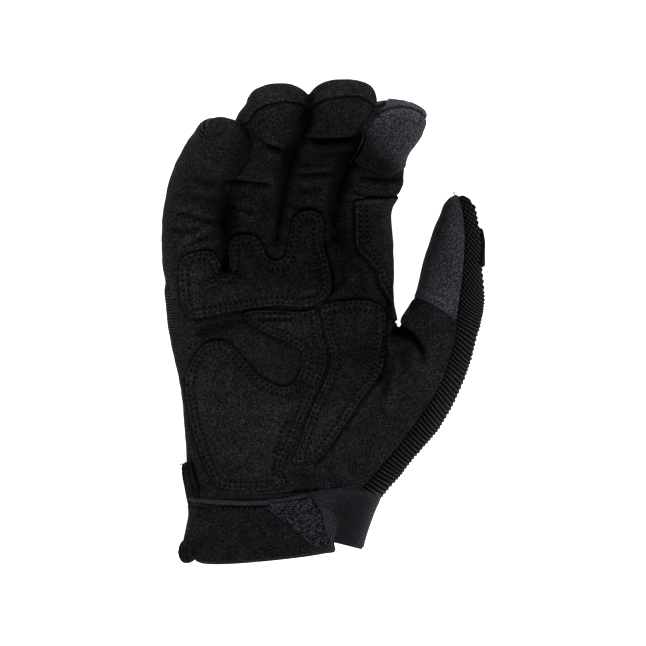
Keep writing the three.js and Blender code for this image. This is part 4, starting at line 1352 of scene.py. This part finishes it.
def make_overlays(body, looks):
    """The pads, patches, guard and rolled seam on the body."""
    pad, suede, touch = looks["pad"], looks["suede"], looks["touch"]
    make_pad(body, "knuckle_overlay", KNUCKLE_PAD, 2.3, "knuckle_pad", pad)
    make_pad(body, "heel_overlay", HEEL_PAD, 2.5, "heel_pad", pad, HEEL_ROWS_PX)
    make_pad(body, "thenar_overlay", THENAR_PAD, 1.9, "thenar_pad", pad)
    make_patch(body, "index_side_overlay", INDEX_SIDE_PATCH, "index_side_patch", suede,
               photo_rows(PATCH_ROWS_PX, PATCH_Z), facing=-0.1, pressed=0.1, rim=0.8)
    make_patch(body, "index_touch", INDEX_TIP_PATCH, "index_tip_patch", touch,
               photo_rows(TIP_ROWS_PX, TIP_Z), facing=-0.45, pressed=0.6, thick=0.6, low=31)
    make_thumb_touch(body, touch)
    make_guard(body, looks["moulded"])
    make_piping(body, looks["fold"])


# The wrist: band, strap, bindings


def wrist_cloth():
    """The wrist's skin, open at both ends, with the place round it as a value."""
    rings = form_rings(WRIST_FORM, WRIST_SIDES, WRIST_STEP)
    kept_up(rings)
    steps = np.linalg.norm(np.diff(np.concatenate([rings, rings[:, :1]], 1), axis=1), axis=2)
    place = np.concatenate([np.zeros((len(rings), 1)), np.cumsum(steps, 1)[:, :-1]], 1).ravel()
    points, tris = rings.reshape(-1, 3), ring_faces(len(rings), WRIST_SIDES)
    cloth = Cloth(points, tris)
    if (cloth.normals[:, 2] * (points[:, 2] - 15)).sum() < 0:
        cloth = Cloth(points, tris[:, ::-1])
    cloth.values = {"round": place, "facing": cloth.normals[:, 2], "painted_shading": painted_shading_value(points)}
    return cloth


def make_band(wrist, look):
    """The elastic round the wrist: in front its edges follow the photograph, and behind a plain table."""
    photo = to_photo(wrist.points)
    facing = wrist.values["facing"]
    above = (photo[:, 1] - np.interp(photo[:, 0], *zip(*BAND_TOP_PX))) * PIXEL
    above = np.where(facing > 0, above, WRIST_Y + 0.5 - wrist.points[:, 1])
    below = (np.interp(photo[:, 0], *zip(*BAND_BOTTOM_PX)) - photo[:, 1]) * PIXEL
    end = np.interp(wrist.points[:, 0], *zip(*BAND_BACK_END))
    below = np.where(facing > 0.3, below, wrist.points[:, 1] - end)
    band = wrist.clipped(np.minimum(above, below))
    band.values["phase"] = band.values["round"] / BAND_RIB
    runs = stitch_holes(photo_rows(BAND_ROWS_PX, BAND_Z), band)
    height = BAND_PROUD * roll(band.values["edge"], 0.5) + lumps(band.points, BAND_LUMPS)
    made = add_piece("wrist_elastic", band.thickened(height, BAND_THICK), look, ["wrist_band"])
    sew(runs, 0.6)


def strap_layer(wrist, outline_table, low):
    """The part of the wrist's skin within an outline, on the palm side and above a height."""
    return wrist.clipped(np.minimum.reduce([
        outline_distance(wrist.points, rounded(outline_table)),
        wrist.points[:, 2] - low,
        0.6 + wrist.values["facing"] * WRIST_MM,
    ]))


def make_strap(wrist, look):
    """The closure strap: a selvage round it, a groove on its left and a flat end with a curled corner."""
    strap = strap_layer(wrist, STRAP_OUTLINE, 6.0)
    strap = strap.halved()
    x, y, _ = strap.points.T
    edge = strap.values["edge"]
    strap.values["phase"] = strap.values["round"] / FINE_RIB
    left = step_up(STRAP_LEFT_X - x, -2, 2) * step_up(y, STRAP_MIDDLE_Y - 4, STRAP_MIDDLE_Y)
    # Painted shade in the groove on the left, which is also pressed in below
    strap.values["hole"] = left * bell(edge - 2.7, 0.4)
    lower = step_up(STRAP_MIDDLE_Y - y, -3, 3)
    flat = step_up(x, -7, -3) * (1 - lower)
    base = 1.0 + 0.6 * step_up(x, -2, 6) ** 2 * lower - 0.5 * flat
    # The lower-lying flat end is painted a little darker
    strap.values["painted_shading"] += 0.12 * flat
    selvage = 0.2 * step_up(1.9 - edge, -0.3, 0.3) - 0.35 * bell(edge - 2.6, 0.6)
    height = base + (1.2 - 0.8 * flat) * roll(edge, 0.8) + selvage * (1 - flat)
    height += lumps(strap.points, STRAP_LUMPS)
    height += 0.06 * np.cos(2 * np.pi * strap.values["phase"]) * step_up(2.6 - edge, -0.2, 0.4)
    height -= 0.7 * strap.values["hole"]
    made = add_piece("wrist_strap", strap.thickened(height, -base), look, ["closure_strap"])


def make_strap_layers(wrist, looks):
    """The suede and the field of hooks and loops on the strap."""
    overlay = strap_layer(wrist, STRAP_OVERLAY, 8.0).halved()
    runs = stitch_holes(photo_rows(STRAP_ROWS_PX, STRAP_Z), overlay)
    # Painted shade in the needle holes
    overlay.values["hole"] = hole_value(overlay, runs)
    height = STRAP_FACE + 1.0 * roll(overlay.values["edge"], 0.8) - 0.3 * overlay.values["hole"]
    solid = overlay.thickened(height + lumps(overlay.points, OVERLAY_LUMPS), -STRAP_FACE)
    add_piece("strap_suede", solid, looks["strap_suede"], ["strap_overlay"])
    sew(runs, STRAP_FACE + 0.9)

    hooks = strap_layer(wrist, HOOK_PATCH, 20.0).halved()
    height = STRAP_FACE + 0.5 * roll(hooks.values["edge"], 0.5) + lumps(hooks.points, HOOK_LUMPS)
    add_piece("hook_field", hooks.thickened(height, -STRAP_FACE), looks["hooks"], ["hook_patch"])
    make_loops(hooks, STRAP_FACE + 0.4, looks["loops"])


def tubes(paths, radius, sides):
    """Thin tubes along short lines of points, as one mesh's points, triangles and values."""
    angles = np.arange(sides) / sides * 2 * np.pi
    solids = []
    for path in paths:
        path = np.asarray(path)
        side, up = square_to(unit(np.gradient(path, axis=0)), (0.31, 0.17, 0.93))
        taper = np.ones(len(path))
        taper[0] = taper[-1] = 0.45
        solids.append(path[:, None] + (radius * taper)[:, None, None] * (
            side[:, None] * np.cos(angles)[None, :, None] + up[:, None] * np.sin(angles)[None, :, None]))
    return (*skins(solids), {})


def make_loops(field, height, look):
    """Small loops of thread all over the field of hooks and loops."""
    random = np.random.default_rng(7)
    corners = field.points[field.tris]
    area = np.linalg.norm(np.cross(corners[:, 1] - corners[:, 0], corners[:, 2] - corners[:, 0]), axis=1)
    paths = []
    for k in random.choice(len(area), LOOPS, p=area / area.sum()):
        first = field.tris[k, 0]
        if field.values["edge"][first] < 0.5:
            continue
        shares = random.dirichlet((1, 1, 1))
        normal = field.normals[first]
        turn = random.uniform(0, np.pi)
        wide, tall = random.uniform(*LOOP_WIDE), random.uniform(*LOOP_TALL)
        flat = np.array([math.cos(turn), math.sin(turn), 0])
        lean = np.array([*random.uniform(-LOOP_LEAN, LOOP_LEAN, 2), 0])
        foot = shares @ corners[k] + normal * (height - 0.15)
        arc = np.linspace(0, np.pi, 5)
        paths.append([foot + flat * wide * -math.cos(t) + (normal + lean) * tall * math.sin(t) for t in arc])
    add_piece("hook_loops", tubes(paths, LOOP_THREAD, 4), look)


def upright_band(path_table, widths, tall, seed, blunt):
    """A folded band standing on edge along a path, narrower at its ends, with a groove along its top; painted
    shade darkens that groove, its underside and the middle of each side.
    """
    path = smooth_line(path_table, BINDING_STEP)
    count = len(path)
    along = np.gradient(path, axis=0)
    across = unit(np.stack([along[:, 1], -along[:, 0], np.zeros(count)], 1))
    angle = np.arange(BINDING_SIDES) / BINDING_SIDES * 2 * np.pi
    c, s = np.cos(angle), np.sin(angle)
    high = np.sign(s) * np.abs(s) ** 0.7 * tall / 2 - 0.5 * bell(c, 0.22) * (s > 0)
    rough = 1 + 0.12 * np.array([
        [noise.noise(Vector((k * 0.35, a * 1.1, seed))) for a in range(BINDING_SIDES)] for k in range(count)
    ])
    end = (1 - np.abs(np.linspace(-0.985, 0.985, count)) ** blunt) ** (1 / blunt)
    wide = (np.linspace(*widths, count) * end)[:, None]
    rings = path[:, None] + across[:, None] * (c * wide / 2 * rough)[..., None]
    rings[..., 2] += high * rough * (0.5 + 0.5 * end)[:, None]
    points, faces = skin(rings)
    # Painted shade on the sides, in the groove on top and underneath
    hole = np.maximum(0.9 * bell(np.abs(c) - 1, 0.22), 0.75 * bell(c, 0.16)) * np.ones((count, 1))
    return points, faces, {"hole": np.append(hole.ravel(), (1, 1)), "painted_shading": painted_shading_value(points)}


def make_bindings(looks):
    """The slit's two bound edges and the strap's folded corner."""
    for seed, (name, look, slot, node, widths, tall, blunt, path) in enumerate(BINDINGS, 1):
        add_piece(name, upright_band(path, widths, tall, seed, blunt), looks[look], [node])


def make_threads(look):
    """The stitches between the needle holes, and two loose ends."""
    paths = []
    for p, q, n in THREADS:
        t = np.linspace(STITCH_FROM, STITCH_TO, 4)[:, None]
        arch = STITCH_ARCH * np.sin(np.pi * t)
        paths.append(p * (1 - t) + q * t + n * (arch + 0.02))
    paths += [smooth_line(end, 0.3) for end in LOOSE_ENDS]
    add_piece("threads", tubes(paths, THREAD, 6), look)


# Materials


class Look:
    """A material, with short ways to add nodes to it and to join them to its shader."""

    def __init__(self, name, roughness, specular, sheen=0.0, sheen_roughness=0.5):
        self.material = bpy.data.materials.new(name)
        self.material.use_nodes = True
        self.nodes, self.links = self.material.node_tree.nodes, self.material.node_tree.links
        self.shader = self.nodes["Principled BSDF"]
        self.shader.inputs["Roughness"].default_value = roughness
        self.shader.inputs["Specular IOR Level"].default_value = specular
        if sheen:
            self.shader.inputs["Sheen Weight"].default_value = sheen
            self.shader.inputs["Sheen Roughness"].default_value = sheen_roughness

    def math(self, kind, *values):
        """A sum, product or other function of numbers and outputs of nodes."""
        node = self.nodes.new("ShaderNodeMath")
        node.operation = kind
        for socket, value in zip(node.inputs, values):
            if isinstance(value, (int, float)):
                socket.default_value = value
            else:
                self.links.new(value, socket)
        return node.outputs[0]

    def spread(self, value, *ends):
        """A value from between the first two ends as one between the last two."""
        node = self.nodes.new("ShaderNodeMapRange")
        for socket, end in zip(("From Min", "From Max", "To Min", "To Max"), ends):
            node.inputs[socket].default_value = end
        self.links.new(value, node.inputs["Value"])
        return node.outputs["Result"]

    def noise(self, size, low, high, detail=2.0, rough=0.6, stretch=(1, 1, 1)):
        """Noise with features of a size in mm, as a factor from about low to high."""
        place = self.nodes.new("ShaderNodeTexCoord")
        mapping = self.nodes.new("ShaderNodeMapping")
        mapping.inputs["Scale"].default_value = stretch
        self.links.new(place.outputs["Object"], mapping.inputs["Vector"])
        grain = self.nodes.new("ShaderNodeTexNoise")
        grain.inputs["Scale"].default_value = 1 / (size * MM)
        grain.inputs["Detail"].default_value = detail
        grain.inputs["Roughness"].default_value = rough
        self.links.new(mapping.outputs["Vector"], grain.inputs["Vector"])
        return self.spread(grain.outputs["Fac"], 0.3, 0.7, low, high)

    def attribute(self, name):
        """A value of the cloth's points."""
        node = self.nodes.new("ShaderNodeAttribute")
        node.attribute_name = name
        return node.outputs["Fac"]

    def painted_shading(self):
        """How light the colour is left by the painted shade and painted light of the value of the same name.
        """
        return self.math("SUBTRACT", 1.0, self.attribute("painted_shading"))

    def holes(self, share):
        """1, and less by a share where painted shade darkens needle holes, seams and grooves, from the value
        hole.
        """
        return self.math("ADD", self.math("MULTIPLY", self.attribute("hole"), -share), 1.0)

    def ribs(self, sharpness=1.0):
        """1 on the crest of a rib and 0 in the groove beside it, from the value phase."""
        wave = self.math("COSINE", self.math("MULTIPLY", self.attribute("phase"), 2 * math.pi))
        return self.math("POWER", self.math("MULTIPLY_ADD", wave, 0.5, 0.5), sharpness)

    def braid(self):
        """Dots of painted shade between the loops of a coarse knit, strong beside its seam and faint away
        from it.
        """
        cross = self.attribute("cross")
        place = self.math("MULTIPLY_ADD", self.attribute("phase"), 0.5, cross)
        wave = self.math("COSINE", self.math("MULTIPLY", place, 2 * math.pi))
        dots = self.math("MULTIPLY_ADD", wave, 0.5, -0.5)
        return self.math("ADD", self.math("MULTIPLY", dots, self.spread(cross, 1.5, 6.0, 0.95, 0.4)), 1.0)

    def tint(self, colour, *factors):
        """Makes the base colour a colour times some factors."""
        factor = factors[0]
        for another in factors[1:]:
            factor = self.math("MULTIPLY", factor, another)
        scale = self.nodes.new("ShaderNodeVectorMath")
        scale.operation = "SCALE"
        scale.inputs[0].default_value = colour
        self.links.new(factor, scale.inputs["Scale"])
        self.links.new(scale.outputs["Vector"], self.shader.inputs["Base Color"])

    def bump(self, height, distance, strength):
        """Roughens the surface by a height, at most so many mm."""
        bump = self.nodes.new("ShaderNodeBump")
        bump.inputs["Distance"].default_value = distance * MM
        bump.inputs["Strength"].default_value = strength
        self.links.new(height, bump.inputs["Height"])
        self.links.new(bump.outputs["Normal"], self.shader.inputs["Normal"])


def suede_material(name, colour):
    """Matt suede: a fine speckled pile, patches brushed lighter, painted shade in needle holes, seams and
    grooves, and painted shade and light over the cloth.
    """
    look = Look(name, roughness=0.95, specular=0.03)
    specks = look.math("MAXIMUM", look.noise(0.85, 0.15, 1.65, rough=0.75), 0.0)
    specks = look.math("ADD", look.math("POWER", specks, 2.1), 0.2)
    brushed, rubbed = look.noise(9, 0.8, 1.2), look.noise(3.2, 0.8, 1.2)
    look.tint(colour, specks, brushed, rubbed, look.holes(0.97), look.painted_shading())
    look.bump(look.noise(0.45, 0, 1, detail=4.0, rough=0.75), distance=0.25, strength=0.8)
    return look.material


def knit_material(name, colour, low, high, sharpness=1.6, braided=False):
    """Ribbed knit: crests painted light as highlight and grooves painted dark as shade, and small loops along
    each rib.
    """
    look = Look(name, roughness=0.95, specular=0.04)
    crest = look.ribs(sharpness)
    light = look.math("MULTIPLY_ADD", crest, high - low, low)
    loops = look.noise(0.55, 0.35, 1.65)
    if braided:
        loops = look.math("MULTIPLY", loops, look.braid())
    look.tint(colour, light, loops, look.painted_shading())
    look.bump(look.math("ADD", crest, look.noise(0.4, 0, 0.4)), distance=0.3, strength=0.9)
    return look.material


def touch_material():
    """Dark grey heathered cloth with light and dark yarns."""
    look = Look("touch_fabric", roughness=0.9, specular=0.06, sheen=0.045, sheen_roughness=0.3)
    look.shader.inputs["Sheen Tint"].default_value = (0.85, 0.9, 1.0, 1)
    specks = look.math("MAXIMUM", look.noise(0.5, 0.0, 1.8, detail=1.0), 0.0)
    specks = look.math("ADD", look.math("POWER", specks, 2.3), 0.1)
    yarn = look.noise(1.0, 0.6, 1.4, detail=1.0, rough=0.5, stretch=(1.8, 0.8, 1))
    look.tint((0.0181, 0.0189, 0.0223), specks, yarn, look.holes(0.92), look.painted_shading())
    look.bump(look.noise(0.5, 0, 1, detail=3.0, rough=0.7), distance=0.3, strength=0.9)
    return look.material


def woven_material(name, colour, low, high, sheen):
    """Woven elastic or webbing: fine ribs, uneven yarns and a light fuzz."""
    look = Look(name, roughness=0.9, specular=0.06, sheen=sheen, sheen_roughness=0.25)
    crest = look.ribs()
    light = look.math("MULTIPLY_ADD", crest, high - low, low)
    yarns = look.noise(0.55, 0.05, 1.95)
    look.tint(colour, light, yarns, look.holes(0.9), look.painted_shading())
    look.bump(look.math("ADD", crest, yarns), distance=0.2, strength=0.8)
    return look.material


def plain_material(name, colour, roughness, specular, size, grain, bump):
    """One colour with a grain of a size in mm."""
    look = Look(name, roughness, specular)
    look.tint(colour, look.noise(size, 1 - grain, 1 + grain, detail=3.0))
    look.bump(look.noise(size, 0, 1, detail=3.0), bump, strength=0.7)
    return look.material


def make_looks():
    """All the glove's materials."""
    return {
        "suede": suede_material("suede", (0.0073, 0.0075, 0.0083)),
        "pad": suede_material("pad_suede", (0.0075, 0.0077, 0.0085)),
        "strap_suede": suede_material("strap_suede", (0.0058, 0.0059, 0.0067)),
        "knit": knit_material("knit", (0.0098, 0.0101, 0.0112), 0.06, 3.0, 2.2, True),
        "fine_knit": knit_material("fine_knit", (0.0074, 0.0077, 0.0086), 0.04, 2.8),
        "touch": touch_material(),
        "elastic": woven_material("elastic", (0.0084, 0.0090, 0.0109), 0.8, 1.2, 0.05),
        "webbing": woven_material("strap_webbing", (0.0139, 0.0146, 0.0170), 0.68, 1.32, 0.02),
        "hooks": plain_material("hook_base", (0.0018, 0.0019, 0.0024), 0.95, 0.03, 0.6, 0.5, 0.4),
        "loops": plain_material("hook_loop", (0.047, 0.049, 0.059), 0.8, 0.1, 0.8, 0.8, 0.1),
        "binding": suede_material("binding", (0.0060, 0.0061, 0.0068)),
        "strap_fold": suede_material("strap_fold", (0.0095, 0.0098, 0.0110)),
        "moulded": plain_material("moulded", (0.0022, 0.0022, 0.0025), 0.7, 0.02, 0.8, 0.1, 0.03),
        "fold": plain_material("seam_fold", (0.0125, 0.0127, 0.0138), 0.95, 0.03, 0.8, 0.4, 0.2),
        "thread": plain_material("thread", (0.0105, 0.0108, 0.0120), 0.9, 0.05, 0.4, 0.3, 0.1),
    }


# The floor, lights and camera


def make_camera():
    """A camera straight above the glove."""
    data = bpy.data.cameras.new("camera")
    data.sensor_width = SENSOR
    data.lens = FOCAL * SENSOR / IMAGE_WIDTH
    data.clip_end = 10
    camera = new_object("camera", data)
    camera.location = (0, 0, CAMERA_HEIGHT * MM)
    bpy.context.scene.camera = camera


def soft_light(name, turn, rise, power):
    """A round softbox that looks at the glove from a compass turn and a height, both in degrees."""
    data = bpy.data.lights.new(name, "AREA")
    data.shape = "DISK"
    data.size = LIGHT_SIZE
    data.energy = power
    turn, rise = math.radians(turn), math.radians(rise)
    way = Vector((math.cos(turn) * math.cos(rise), math.sin(turn) * math.cos(rise), math.sin(rise)))
    light = new_object(name, data)
    light.location = way * LIGHT_DISTANCE
    light.rotation_euler = (-way).to_track_quat("-Z", "Y").to_euler()


def make_stage():
    """A pale floor, the lights and the room."""
    look = Look("floor", roughness=0.9, specular=0.1)
    look.tint((0.92, 0.92, 0.92), look.noise(40, 0.99, 1.01))
    look.shader.inputs["Emission Color"].default_value = (1, 1, 1, 1)
    look.shader.inputs["Emission Strength"].default_value = FLOOR_GLOW
    sides = ((-1, -1), (1, -1), (1, 1), (-1, 1))
    corners = np.array([(x * FLOOR_HALF, y * FLOOR_HALF, -FLOOR_DROP) for x, y in sides])
    floor = make_object("floor", corners, np.array([[0, 1, 2], [0, 2, 3]]), look.material, sharp=0)
    for softbox in SOFTBOXES:
        soft_light(*softbox)
    world = bpy.data.worlds.new("studio")
    world.use_nodes = True
    world.node_tree.nodes["Background"].inputs["Color"].default_value = (1, 1, 1, 1)
    world.node_tree.nodes["Background"].inputs["Strength"].default_value = ROOM_LIGHT
    bpy.context.scene.world = world
    bpy.context.scene.view_settings.view_transform = "Standard"


make_camera()
make_stage()
looks = make_looks()
body = make_body()
make_panels(body, looks)
make_overlays(body, looks)
wrist = wrist_cloth()
make_band(wrist, looks["elastic"])
make_strap(wrist, looks["webbing"])
make_strap_layers(wrist, looks)
make_bindings(looks)
make_threads(looks["thread"])
